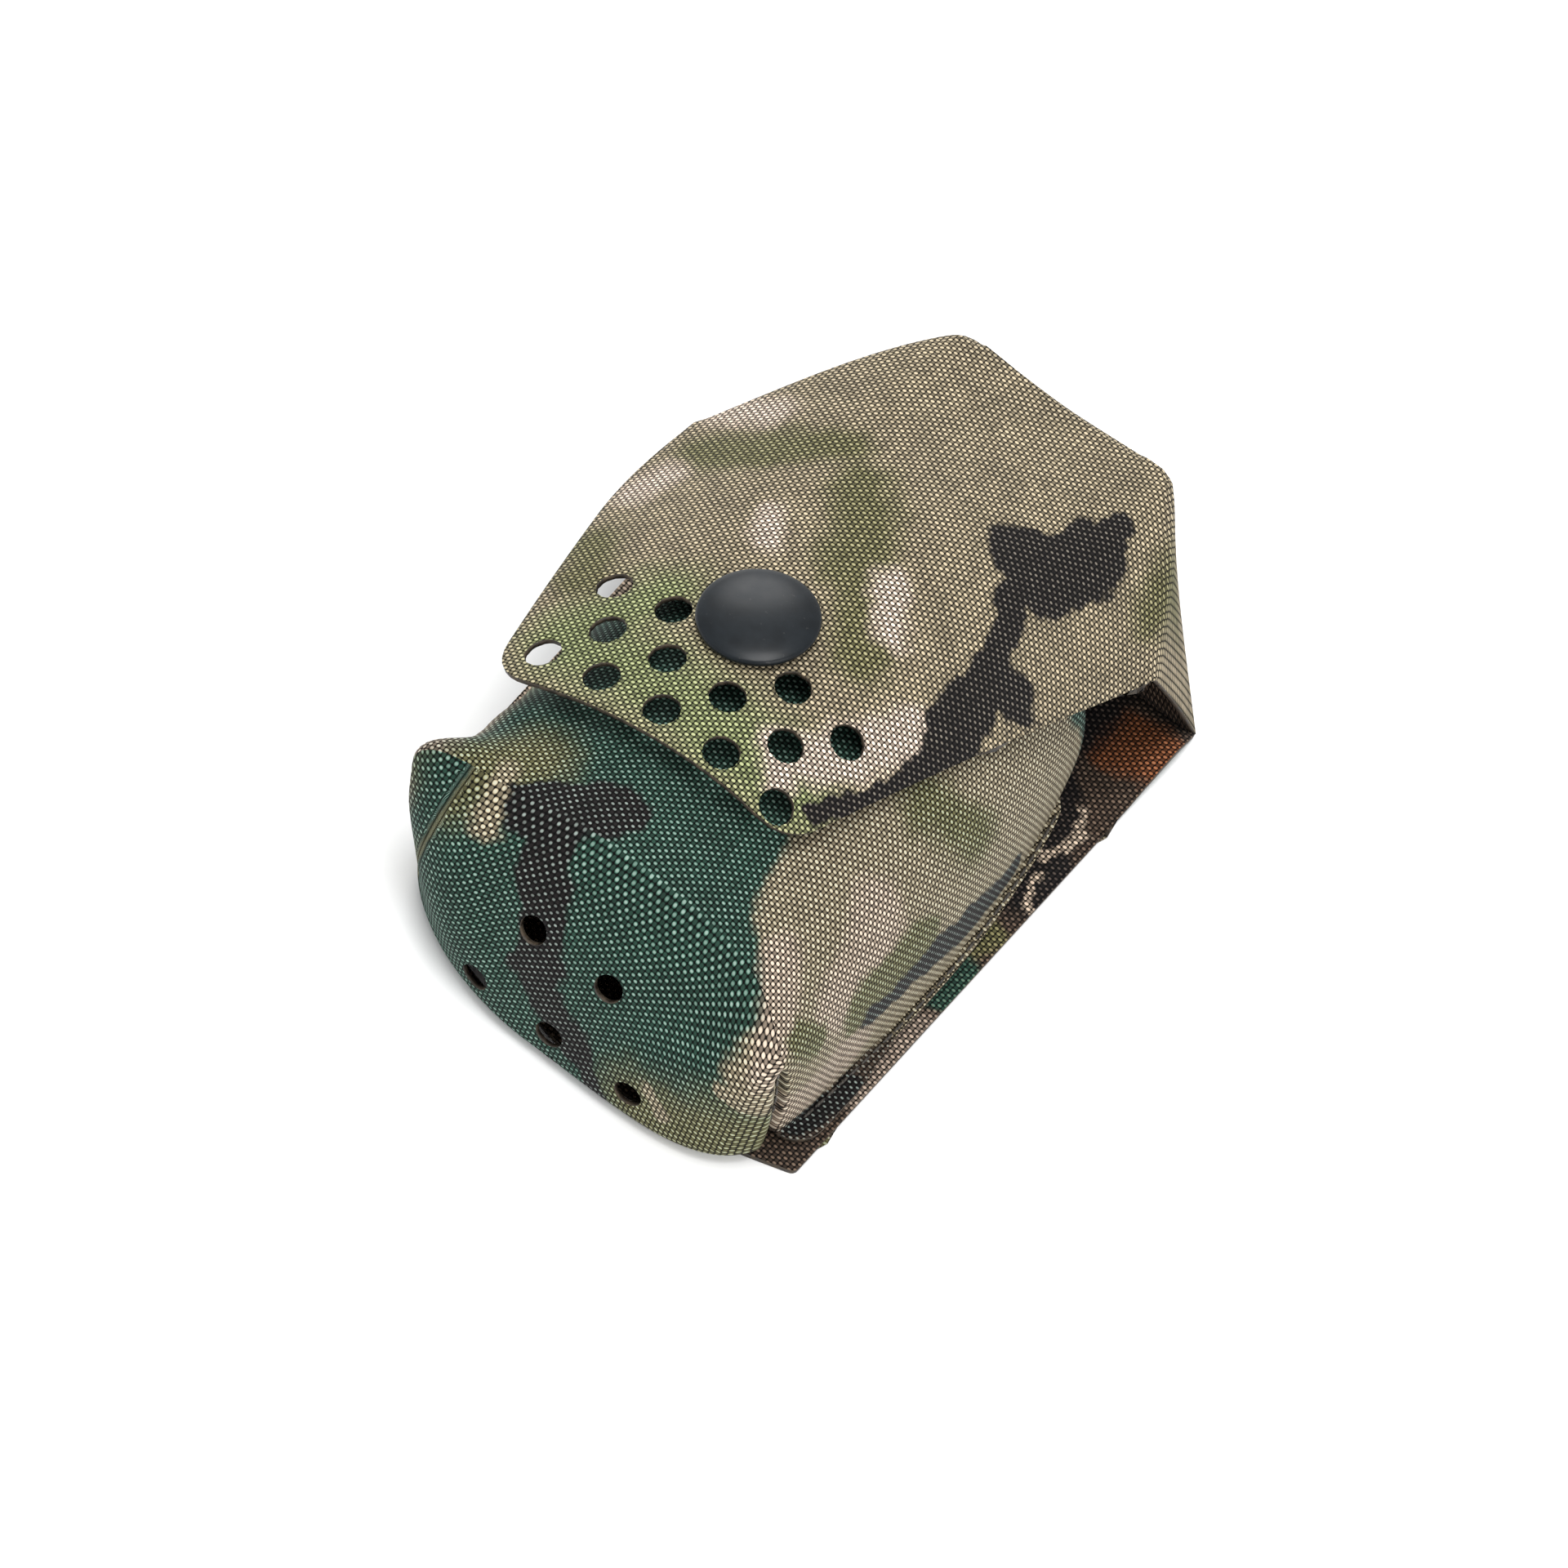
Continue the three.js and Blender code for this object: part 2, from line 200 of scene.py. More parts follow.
class PouchColours(bpy.types.PropertyGroup):
    """Print colours of the two cloth faces, the snap and the thread."""

    khaki: bpy.props.FloatVectorProperty(
        name="Khaki", description="Ground of the flap", subtype="COLOR", default=(0.31, 0.255, 0.165))
    green: bpy.props.FloatVectorProperty(
        name="Bottle green", description="Ground of the bag", subtype="COLOR", default=(0.024, 0.072, 0.050))
    olive: bpy.props.FloatVectorProperty(
        name="Olive", description="Mid blotches", subtype="COLOR", default=(0.155, 0.145, 0.062))
    moss: bpy.props.FloatVectorProperty(
        name="Moss", description="Tint towards the flap's tip", subtype="COLOR", default=(0.205, 0.235, 0.10))
    cream: bpy.props.FloatVectorProperty(
        name="Cream", description="Pale blotches", subtype="COLOR", default=(0.56, 0.45, 0.36))
    tan: bpy.props.FloatVectorProperty(
        name="Tan", description="Pale side of the bag", subtype="COLOR", default=(0.42, 0.33, 0.25))
    charcoal: bpy.props.FloatVectorProperty(
        name="Charcoal", description="Dark branches", subtype="COLOR", default=(0.013, 0.010, 0.010))
    rust: bpy.props.FloatVectorProperty(
        name="Rust", description="Warm patch on the inner face", subtype="COLOR", default=(0.20, 0.065, 0.022))
    bark: bpy.props.FloatVectorProperty(
        name="Bark", description="Ground of the inner face", subtype="COLOR", default=(0.075, 0.05, 0.035))
    taupe: bpy.props.FloatVectorProperty(
        name="Taupe", description="Greyish patch on the inner face", subtype="COLOR", default=(0.27, 0.21, 0.165))
    snap_black: bpy.props.FloatVectorProperty(
        name="Snap black", description="Oxide finish of the cap", subtype="COLOR", default=(0.003, 0.005, 0.007))
    thread: bpy.props.FloatVectorProperty(
        name="Thread", description="Bonded sewing thread", subtype="COLOR", default=(0.035, 0.03, 0.024))


class StitchSizes(bpy.types.PropertyGroup):
    """Lockstitch that holds the sides and the darts."""

    length: bpy.props.FloatProperty(
        name="Stitch length", description="One stitch of the seam",
        default=0.0022, min=0.001, max=0.006, unit="LENGTH", precision=5,
    )
    radius: bpy.props.FloatProperty(
        name="Thread radius", description="Half the thread's width",
        default=0.00022, min=0.0001, max=0.001, unit="LENGTH", precision=5,
    )


# ---------------------------------------------------------------- mesh helpers
def rounded_path(corners, step):
    """Points along straight runs between corners; each corner is (point, reach of its rounding)."""
    points = [Vector(corners[0][0])]
    for index in range(1, len(corners)):
        corner, reach = Vector(corners[index][0]), corners[index][1]
        if index < len(corners) - 1 and reach > 0:
            after = Vector(corners[index + 1][0])
            arrive = corner + (points[-1] - corner).normalized() * reach
            leave = corner + (after - corner).normalized() * reach
        else:
            arrive = leave = corner
        start = points[-1].copy()
        count = max(int(round((arrive - start).length / step)), 1)
        points += [start.lerp(arrive, k / count) for k in range(1, count + 1)]
        if (arrive - leave).length > 1e-6:
            bends = max(int(round(reach * 1.6 / step)), 4)
            for k in range(1, bends + 1):
                t = k / bends
                points.append(arrive.lerp(corner, t).lerp(corner.lerp(leave, t), t))
    return points


def inside(point, outline):
    """True where a flat point lies inside a closed outline."""
    odd = False
    x, y = point
    before = outline[-1]
    for here in outline:
        if (here[1] > y) != (before[1] > y):
            crossing = (before[0] - here[0]) * (y - here[1]) / (before[1] - here[1]) + here[0]
            if x < crossing:
                odd = not odd
        before = here
    return odd


def cut_flat(outline, holes, step, sides=26):
    """Triangles of a flat cut: its outline, round holes given as (x, y, radius), and an even grid inside."""
    points = [Vector(p) for p in outline]
    edges = [(k, (k + 1) % len(points)) for k in range(len(points))]
    for x, y, radius in holes:
        first = len(points)
        for k in range(sides):
            turn = math.tau * k / sides
            points.append(Vector((x + radius * math.cos(turn), y + radius * math.sin(turn))))
            edges.append((first + k, first + (k + 1) % sides))
    rim = np.array([tuple(p) for p in points])
    low, high = rim.min(0), rim.max(0)
    for row in range(int((high[1] - low[1]) / step) + 1):
        for column in range(int((high[0] - low[0]) / step) + 1):
            spot = (low[0] + (column + 0.5 * (row % 2)) * step, low[1] + row * step)
            if not inside(spot, outline):
                continue
            if any(math.hypot(spot[0] - x, spot[1] - y) < radius + step * 0.4 for x, y, radius in holes):
                continue
            if np.min(np.hypot(rim[:, 0] - spot[0], rim[:, 1] - spot[1])) > step * 0.55:
                points.append(Vector(spot))
    made = delaunay_2d_cdt(points, edges, [], 0, 1e-5)
    verts, faces = made[0], made[2]
    kept = []
    for face in faces:
        middle = sum((verts[k] for k in face), Vector((0, 0))) / len(face)
        if not inside(middle, outline):
            continue
        if any(math.hypot(middle[0] - x, middle[1] - y) < radius * 0.98 for x, y, radius in holes):
            continue
        kept.append(tuple(face))
    return [tuple(v) for v in verts], kept


def finish_mesh(name, bm, materials, smooth=True):
    """A new object from a bmesh in millimetres, scaled to metres."""
    mesh = bpy.data.meshes.new(name)
    bm.to_mesh(mesh)
    bm.free()
    mesh.transform(Matrix.Scale(MM, 4))
    for material in materials:
        mesh.materials.append(material)
    mesh.polygons.foreach_set("use_smooth", [smooth] * len(mesh.polygons))
    obj = bpy.data.objects.new(name, mesh)
    bpy.context.scene.collection.objects.link(obj)
    return obj


def thicken(obj, thickness):
    """Gives a skin its laminate thickness inwards, with its own inner face and cut edge, as a plain mesh."""
    modifier = obj.modifiers.new("laminate", "SOLIDIFY")
    modifier.thickness = thickness
    modifier.offset = -1
    modifier.use_even_offset = False
    modifier.material_offset = 1
    modifier.material_offset_rim = 2
    apply_modifiers(obj)


def apply_modifiers(obj):
    graph = bpy.context.evaluated_depsgraph_get()
    baked = bpy.data.meshes.new_from_object(obj.evaluated_get(graph), depsgraph=graph)
    old = obj.data
    obj.modifiers.clear()
    obj.data = baked
    baked.name = obj.name
    bpy.data.meshes.remove(old)


def skin_area(bm):
    return sum(face.calc_area() for face in bm.faces) * MM * MM


def set_uv(bm, chart):
    """Writes each corner's place in the flat pattern, in millimetres; chart takes a face and a vertex."""
    layer = bm.loops.layers.uv.new(UV_NAME)
    for face in bm.faces:
        for loop in face.loops:
            loop[layer].uv = chart(face, loop.vert)


# ---------------------------------------------------------------- shader helpers
class Shader:
    """A node tree under construction."""

    def __init__(self, tree):
        self.tree = tree

    def node(self, kind, settings=None, **values):
        made = self.tree.nodes.new(kind)
        for key, value in (settings or {}).items():
            setattr(made, key, value)
        for key, value in values.items():
            self.feed(made.inputs[key.replace("_", " ")], value)
        return made

    def feed(self, socket, value):
        if isinstance(value, bpy.types.NodeSocket):
            self.tree.links.new(value, socket)
        elif value is not None:
            socket.default_value = value

    def math(self, operation, *values):
        made = self.tree.nodes.new("ShaderNodeMath")
        made.operation = operation
        for socket, value in zip(made.inputs, values):
            self.feed(socket, value)
        return made.outputs[0]

    def vector(self, operation, *values, out=0):
        made = self.tree.nodes.new("ShaderNodeVectorMath")
        made.operation = operation
        for socket, value in zip(made.inputs, values):
            self.feed(socket, value)
        return made.outputs[out]

    def mix(self, factor, a, b, mode="MIX"):
        made = self.tree.nodes.new("ShaderNodeMix")
        made.data_type = "RGBA"
        made.blend_type = mode
        self.feed(made.inputs["Factor"], factor)
        self.feed(made.inputs[6], a)
        self.feed(made.inputs[7], b)
        return made.outputs[2]

    def noise(self, vector, scale, detail=2.0, rough=0.5):
        made = self.node("ShaderNodeTexNoise", {}, Vector=vector, Scale=scale, Detail=detail, Roughness=rough)
        return made

    def spread(self, value, low, high, out_low=0.0, out_high=1.0, soft=True):
        made = self.node("ShaderNodeMapRange", {"interpolation_type": "SMOOTHSTEP" if soft else "LINEAR"})
        self.feed(made.inputs["Value"], value)
        self.feed(made.inputs["From Min"], low)
        self.feed(made.inputs["From Max"], high)
        self.feed(made.inputs["To Min"], out_low)
        self.feed(made.inputs["To Max"], out_high)
        return made.outputs[0]


def new_group(name, inputs, outputs):
    group = bpy.data.node_groups.new(name, "ShaderNodeTree")
    for kind, label, default in inputs:
        socket = group.interface.new_socket(label, in_out="INPUT", socket_type=kind)
        socket.default_value = default
    for kind, label in outputs:
        group.interface.new_socket(label, in_out="OUTPUT", socket_type=kind)
    return group, group.nodes.new("NodeGroupInput"), group.nodes.new("NodeGroupOutput")


def weave_group():
    """Height of a plain weave at a place in the flat pattern, and a shade of its own for each yarn."""
    if "Plain weave" in bpy.data.node_groups:
        return bpy.data.node_groups["Plain weave"]
    group, given, result = new_group(
        "Plain weave",
        [("NodeSocketVector", "Place", (0, 0, 0)), ("NodeSocketFloat", "Warp pitch", 0.69),
         ("NodeSocketFloat", "Weft pitch", 0.56)],
        [("NodeSocketFloat", "Height"), ("NodeSocketFloat", "Yarn shade"), ("NodeSocketFloat", "Warp on top")],
    )
    s = Shader(group)
    split = s.node("ShaderNodeSeparateXYZ", Vector=given.outputs["Place"])
    across = s.math("DIVIDE", split.outputs[0], given.outputs["Warp pitch"])
    along = s.math("DIVIDE", split.outputs[1], given.outputs["Weft pitch"])

    def yarn(own, other, sign):
        cell = s.math("FLOOR", own)
        offset = s.math("SUBTRACT", s.math("FRACT", own), 0.5)
        phase = s.math("MULTIPLY", s.math("ADD", s.math("SUBTRACT", other, 0.5), cell), math.pi)
        wave = s.math("MULTIPLY", s.math("COSINE", phase), 0.5 * sign)
        side = s.math("MULTIPLY", offset, 2 / 0.94)
        crown = s.math("SQRT", s.math("MAXIMUM", s.math("SUBTRACT", 1.0, s.math("MULTIPLY", side, side)), 0.0))
        return s.math("MULTIPLY_ADD", crown, 0.6, wave), cell

    warp, warp_cell = yarn(across, along, 1.0)
    weft, weft_cell = yarn(along, across, -1.0)
    height = s.math("MAXIMUM", warp, weft)
    on_top = s.math("GREATER_THAN", warp, weft)
    shade_of = []
    for cell, other, stretch in ((warp_cell, along, (1.0, 0.18)), (weft_cell, across, (1.0, 0.18))):
        place = s.node("ShaderNodeCombineXYZ", X=cell, Y=s.math("MULTIPLY", other, stretch[1]))
        white = s.noise(place.outputs[0], 0.83, 1.0)
        shade_of.append(white.outputs["Fac"])
    pick = s.node("ShaderNodeMix", {"data_type": "FLOAT"})
    s.feed(pick.inputs[0], on_top)
    s.feed(pick.inputs[2], shade_of[1])
    s.feed(pick.inputs[3], shade_of[0])
    s.feed(result.inputs["Height"], height)
    s.feed(result.inputs["Yarn shade"], pick.outputs[0])
    s.feed(result.inputs["Warp on top"], on_top)
    return group


def blotch_group():
    """Cover of one blotch of the print: a bar with round ends and a soft edge."""
    if "Print blotch" in bpy.data.node_groups:
        return bpy.data.node_groups["Print blotch"]
    group, given, result = new_group(
        "Print blotch",
        [("NodeSocketVector", "Place", (0, 0, 0)), ("NodeSocketVector", "Start", (0, 0, 0)),
         ("NodeSocketVector", "End", (1, 0, 0)), ("NodeSocketFloat", "Radius", 3.0),
         ("NodeSocketFloat", "Softness", 1.0)],
        [("NodeSocketFloat", "Cover")],
    )
    s = Shader(group)
    reach = s.vector("SUBTRACT", given.outputs["End"], given.outputs["Start"])
    here = s.vector("SUBTRACT", given.outputs["Place"], given.outputs["Start"])
    share = s.math("DIVIDE", s.vector("DOT_PRODUCT", here, reach, out=1),
                   s.vector("DOT_PRODUCT", reach, reach, out=1))
    share = s.math("MINIMUM", s.math("MAXIMUM", share, 0.0), 1.0)
    scaled = s.tree.nodes.new("ShaderNodeVectorMath")
    scaled.operation = "SCALE"
    s.feed(scaled.inputs[0], reach)
    s.feed(scaled.inputs["Scale"], share)
    gap = s.vector("LENGTH", s.vector("SUBTRACT", here, scaled.outputs[0]), out=1)
    inner = s.math("SUBTRACT", given.outputs["Radius"], given.outputs["Softness"])
    outer = s.math("ADD", given.outputs["Radius"], given.outputs["Softness"])
    s.feed(result.inputs["Cover"], s.spread(gap, inner, outer, 1.0, 0.0))
    return group


def cloth_material(name, ground, blotches, painted_glint_colour=(1, 1, 1), painted_glint_strength=0.3, tint_towards=None):
    """Printed plain-weave cloth with painted shade in the weave's gaps and on the weft crowns, and painted glints on
    the warp crowns. blotches are (colour, start, end, radius, softness) in pattern millimetres.
    """
    sizes = bpy.context.scene.pouch_cloth
    material = bpy.data.materials.new(name)
    material.use_nodes = True
    tree = material.node_tree
    s = Shader(tree)
    shader = tree.nodes["Principled BSDF"]
    place = s.node("ShaderNodeUVMap", {"uv_map": UV_NAME}).outputs[0]

    big = s.noise(place, 0.11, 2.0)
    small = s.noise(place, 0.42, 3.0, 0.6)
    wander = s.vector("MULTIPLY", s.vector("SUBTRACT", big.outputs["Color"], (0.5, 0.5, 0.5)), (5.0, 5.0, 0.0))
    ripple = s.vector("MULTIPLY", s.vector("SUBTRACT", small.outputs["Color"], (0.5, 0.5, 0.5)), (3.0, 3.0, 0.0))
    warped = s.vector("ADD", s.vector("ADD", place, wander), ripple)

    mottle = s.noise(place, 0.16, 4.0, 0.6).outputs["Fac"]
    colour = s.mix(s.spread(mottle, 0.35, 0.7), (*(c * 0.86 for c in ground), 1), (*(c * 1.12 for c in ground), 1))
    if tint_towards:
        shade, axis, low, high, amount = tint_towards
        split = s.node("ShaderNodeSeparateXYZ", Vector=warped)
        colour = s.mix(s.spread(split.outputs[axis], low, high, 0.0, amount), colour, (*shade, 1))
    for shade, start, end, radius, softness in blotches:
        blotch = s.node("ShaderNodeGroup", {"node_tree": blotch_group()})
        s.feed(blotch.inputs["Place"], warped)
        s.feed(blotch.inputs["Start"], (*start, 0))
        s.feed(blotch.inputs["End"], (end[0] + 0.01, end[1], 0))
        s.feed(blotch.inputs["Radius"], radius)
        s.feed(blotch.inputs["Softness"], softness)
        colour = s.mix(blotch.outputs["Cover"], colour, (*shade, 1))

    weave = s.node("ShaderNodeGroup", {"node_tree": weave_group()})
    s.feed(weave.inputs["Place"], place)
    s.feed(weave.inputs["Warp pitch"], sizes.warp_pitch / MM)
    s.feed(weave.inputs["Weft pitch"], sizes.weft_pitch / MM)
    height, yarn = weave.outputs["Height"], weave.outputs["Yarn shade"]
    # Painted shade: the colour is darkened in the gaps between yarns and lightened on the yarn crowns.
    depth = s.spread(height, 0.50, 1.02, 0.01, 1.60)
    slub = s.spread(yarn, 0.3, 0.7, 0.72, 1.22)
    # Painted light: warp crowns are painted brighter and weft crowns painted darker.
    painted_warp_light = s.spread(weave.outputs["Warp on top"], 0.0, 1.0, 0.38, 1.22, soft=False)
    light = s.math("MULTIPLY", s.math("MULTIPLY", depth, slub), painted_warp_light)
    shaded = s.node("ShaderNodeVectorMath", {"operation": "SCALE"})
    s.feed(shaded.inputs[0], colour)
    s.feed(shaded.inputs["Scale"], light)
    # Painted glints: pale highlights on the tallest points of the warp crowns.
    painted_glint = s.math("MULTIPLY", s.spread(height, 0.80, 1.08), s.spread(yarn, 0.36, 0.66, painted_glint_strength * 0.4, painted_glint_strength))
    painted_glint = s.math("MULTIPLY", painted_glint, weave.outputs["Warp on top"])
    # Colour of the painted glints: the given glint colour mixed with the print beneath.
    painted_glint_hue = s.mix(0.62, (*painted_glint_colour, 1), colour)
    print_and_painted_light = s.mix(painted_glint, shaded.outputs[0], painted_glint_hue)
    s.feed(shader.inputs["Base Color"], print_and_painted_light)

    rough = s.spread(height, 0.3, 1.1, 0.92, 0.62)
    s.feed(shader.inputs["Roughness"], rough)
    shader.inputs["Specular IOR Level"].default_value = 0.14
    shader.inputs["Sheen Weight"].default_value = 0.02
    shader.inputs["Sheen Roughness"].default_value = 0.5
    fuzz = s.noise(place, 5.5, 3.0, 0.6).outputs["Fac"]
    relief = s.math("MULTIPLY_ADD", fuzz, 0.25, height)
    bump = s.node("ShaderNodeBump", Strength=0.85, Distance=0.00012, Height=relief)
    s.feed(shader.inputs["Normal"], bump.outputs[0])
    return material


def edge_material():
    """The laser-cut rim: melted fibre ends, darker where both plies are fused."""
    material = bpy.data.materials.new("fused_cut_edge")
    material.use_nodes = True
    s = Shader(material.node_tree)
    shader = material.node_tree.nodes["Principled BSDF"]
    place = s.node("ShaderNodeTexCoord").outputs["Object"]
    grain = s.noise(place, 900.0, 3.0, 0.6).outputs["Fac"]
    s.feed(shader.inputs["Base Color"], s.mix(s.spread(grain, 0.35, 0.7), (0.016, 0.011, 0.007, 1), (0.07, 0.05, 0.03, 1)))
    s.feed(shader.inputs["Roughness"], s.spread(grain, 0.3, 0.7, 0.45, 0.8))
    bump = s.node("ShaderNodeBump", Strength=0.6, Distance=0.00008, Height=grain)
    s.feed(shader.inputs["Normal"], bump.outputs[0])
    return material


def snap_material(name, colour, roughness, wear):
    """Oxide-blackened stamped metal under a thin lacquer."""
    material = bpy.data.materials.new(name)
    material.use_nodes = True
    s = Shader(material.node_tree)
    shader = material.node_tree.nodes["Principled BSDF"]
    place = s.node("ShaderNodeTexCoord").outputs["Object"]
    speck = s.noise(place, 1400.0, 3.0, 0.6).outputs["Fac"]
    cloud = s.noise(place, 220.0, 3.0, 0.6).outputs["Fac"]
    dull = s.mix(s.spread(cloud, 0.35, 0.7), (*colour, 1), (*(c * 1.7 for c in colour), 1))
    s.feed(shader.inputs["Base Color"], s.mix(s.spread(speck, 0.66, 0.74, 0.0, wear), dull, (0.16, 0.15, 0.14, 1)))
    s.feed(shader.inputs["Roughness"], s.spread(cloud, 0.3, 0.7, roughness, roughness + 0.12))
    shader.inputs["Specular IOR Level"].default_value = 0.2
    shader.inputs["Coat Weight"].default_value = 0.1
    shader.inputs["Coat Roughness"].default_value = 0.28
    bump = s.node("ShaderNodeBump", Strength=0.15, Distance=0.00003, Height=speck)
    s.feed(shader.inputs["Normal"], bump.outputs[0])
    return material


def thread_material():
    """Three-ply bonded thread, its twist drawn as slanting bands of painted shade in the grooves and painted highlight
    on the plies.
    """
    material = bpy.data.materials.new("bonded_thread")
    material.use_nodes = True
    s = Shader(material.node_tree)
    shader = material.node_tree.nodes["Principled BSDF"]
    place = s.node("ShaderNodeTexCoord").outputs["Object"]
    twist = s.node("ShaderNodeTexWave", {"bands_direction": "DIAGONAL"}, Vector=place, Scale=900.0, Distortion=1.5)
    base = bpy.context.scene.pouch_colours.thread
    # Painted shade and highlight: the bands run from 0.6 to 1.9 times the thread colour.
    s.feed(shader.inputs["Base Color"],
           s.mix(twist.outputs["Fac"], (*(c * 0.6 for c in base), 1), (*(c * 1.9 for c in base), 1)))
    shader.inputs["Roughness"].default_value = 0.5
    bump = s.node("ShaderNodeBump", Strength=0.7, Distance=0.00006, Height=twist.outputs["Fac"])
    s.feed(shader.inputs["Normal"], bump.outputs[0])
    return material


def floor_material():
    """Seamless white paper with a faint tooth."""
    material = bpy.data.materials.new("studio_paper")
    material.use_nodes = True
    s = Shader(material.node_tree)
    shader = material.node_tree.nodes["Principled BSDF"]
    place = s.node("ShaderNodeTexCoord").outputs["Object"]
    tooth = s.noise(place, 500.0, 2.0).outputs["Fac"]
    s.feed(shader.inputs["Base Color"], s.mix(tooth, (0.93, 0.93, 0.93, 1), (0.95, 0.95, 0.95, 1)))
    shader.inputs["Roughness"].default_value = 0.9
    shader.inputs["Specular IOR Level"].default_value = 0.1
    return material


# ---------------------------------------------------------------- cloth materials
def face_cloth():
    """Print on the outer face of the flap and the top wall."""
    c = bpy.context.scene.pouch_colours
    blotches = [
        (c.moss, (-26, -21), (8, -24), 6.5, 5.5),
        (c.moss, (-22, -8), (-28, -18), 4.5, 4.0),
        (c.olive, (-34, 19), (-26, 21), 4.0, 2.4),
        (c.olive, (-25, 22), (-18, 26), 3.4, 2.2),
        (c.olive, (-12, 20), (-6, 9), 4.6, 2.8),
        (c.olive, (-4, 8), (3, -3), 3.6, 2.6),
        (c.olive, (24, 47), (25, 38), 3.4, 2.8),
        (c.olive, (-37, -2), (-33, -10), 3.4, 2.6),
        (c.cream, (-36, 28), (-31, 28), 3.0, 2.0),
        (c.cream, (-38, 9), (-37, 13), 2.8, 2.0),
        (c.cream, (-19, 9), (-16, 5), 2.0, 1.4),
        (c.cream, (-1, 9), (3, 3), 2.4, 1.6),
        (c.cream, (14, -5), (7, -18), 3.6, 1.6),
        (c.cream, (2, -20), (6, -24), 2.2, 1.4),
        (c.charcoal, (14, 35.5), (12.5, 27), 5.0, 0.5),
        (c.charcoal, (14, 41.5), (13, 36), 2.0, 0.4),
        (c.charcoal, (8, 26.5), (11, 26), 4.6, 0.5),
        (c.charcoal, (11, 21), (14, 13), 2.6, 0.5),
        (c.charcoal, (16, 10.5), (20.5, 11), 3.2, 0.5),
        (c.charcoal, (15.5, 9), (17.5, 0), 3.8, 0.5),
        (c.charcoal, (17.5, 0), (18, -8), 2.8, 0.5),
        (c.charcoal, (17, -11), (12, -23), 1.5, 0.4),
    ]
    # The last two arguments give the colour and strength of the painted glints on the warp crowns.
    return cloth_material("laminate_face_khaki", c.khaki, blotches, painted_glint_colour=(0.86, 0.78, 0.62), painted_glint_strength=0.62)


def bag_cloth():
    """Print on the outer face of the bag and its rounded bottom."""
    c = bpy.context.scene.pouch_colours
    blotches = [
        (c.olive, (-26, -44), (-20, -36), 4.6, 3.6),
        (c.olive, (16, -66), (26, -58), 6.5, 4.5),
        (c.khaki, (25, 10), (22, -30), 11.0, 1.2),
        (c.khaki, (38, 14), (38, -40), 12.0, 1.2),
        (c.khaki, (52, 14), (52, -22), 8.0, 1.2),
        (c.khaki, (27, -36), (28, -46), 7.0, 0.8),
        (c.bark, (55, -24), (54, -44), 6.0, 1.0),
        (c.tan, (26, -22), (31, -32), 5.0, 1.8),
        (c.tan, (20, -38), (26, -44), 3.6, 1.4),
        (c.tan, (43, -30), (44, -44), 5.0, 1.6),
        (c.olive, (35, -16), (35, -28), 3.8, 0.9),
        (c.olive, (29, -41), (32, -38), 2.6, 0.8),
        (c.olive, (20, -8), (29, -2), 3.8, 2.4),
        (c.khaki, (-21, -40), (-19, -46), 1.6, 1.0),
        (c.olive, (-38, -18), (-38, -58), 7.0, 4.5),
        (c.taupe, (-34, -46), (-35, -30), 4.5, 3.0),
        (c.charcoal, (-16, -42), (-7, -37), 3.4, 0.5),
        (c.charcoal, (-13, -42), (-9, -49), 3.2, 0.5),
        (c.charcoal, (-8, -49), (-4, -58), 3.2, 0.5),
        (c.charcoal, (-6, -58), (4, -66), 2.6, 0.5),
        (c.charcoal, (4, -66), (9, -70), 1.6, 0.4),
        (c.charcoal, (43, 6), (40, -14), 3.0, 0.5),
        (c.charcoal, (40, -14), (38, -26), 1.9, 0.5),
        (c.charcoal, (51, -30), (50, -38), 2.0, 0.5),
        (c.khaki, (14, -61), (17, -63), 1.2, 0.4),
        (c.khaki, (23, -51), (24, -50), 1.3, 0.4),
    ]
    # The last two arguments give the colour and strength of the painted glints on the warp crowns.
    return cloth_material("laminate_face_green", c.green, blotches, painted_glint_colour=(0.80, 0.98, 0.88), painted_glint_strength=0.85)


def inner_cloth():
    """Print on the inner face, darker and warmer, with twig-like streaks; its dark ground is partly the print and
    partly painted shade of the pouch's inside.
    """
    c = bpy.context.scene.pouch_colours
    blotches = [
        (c.rust, (32, 36), (26, 36), 4.6, 1.4),
        (c.charcoal, (24, 24), (31, 10), 4.2, 1.2),
        (c.charcoal, (20, 40), (16, 20), 5.0, 2.0),
        (c.tan, (29, 24), (31, 18), 0.6, 0.3),
        (c.tan, (31, 21), (29, 15), 0.6, 0.3),
        (c.tan, (30, 12), (32, 7), 0.6, 0.3),
        (c.olive, (31, 2), (30, -2), 2.0, 1.0),
        (c.green, (31, -5), (31, -9), 2.6, 1.0),
        (c.taupe, (32, -16), (32, -28), 3.4, 1.4),
        (c.charcoal, (-10, 20), (-20, 0), 4.0, 1.0),
        (c.tan, (-31, 10), (-31, -22), 2.6, 1.2),
        (c.rust, (0, -10), (10, -22), 5.0, 1.6),
        (c.taupe, (-12, -30), (-22, -36), 5.0, 1.6),
        (c.green, (8, 22), (14, 10), 5.0, 1.6),
    ]
    # The last two arguments give the colour and strength of the painted glints on the warp crowns.
    return cloth_material("laminate_inner_bark", c.bark, blotches, painted_glint_colour=(0.60, 0.46, 0.34), painted_glint_strength=0.45)


# ---------------------------------------------------------------- surfaces of the cloth
def vault_radius(side):
    return VAULT_LEFT if side < 0 else VAULT_RIGHT


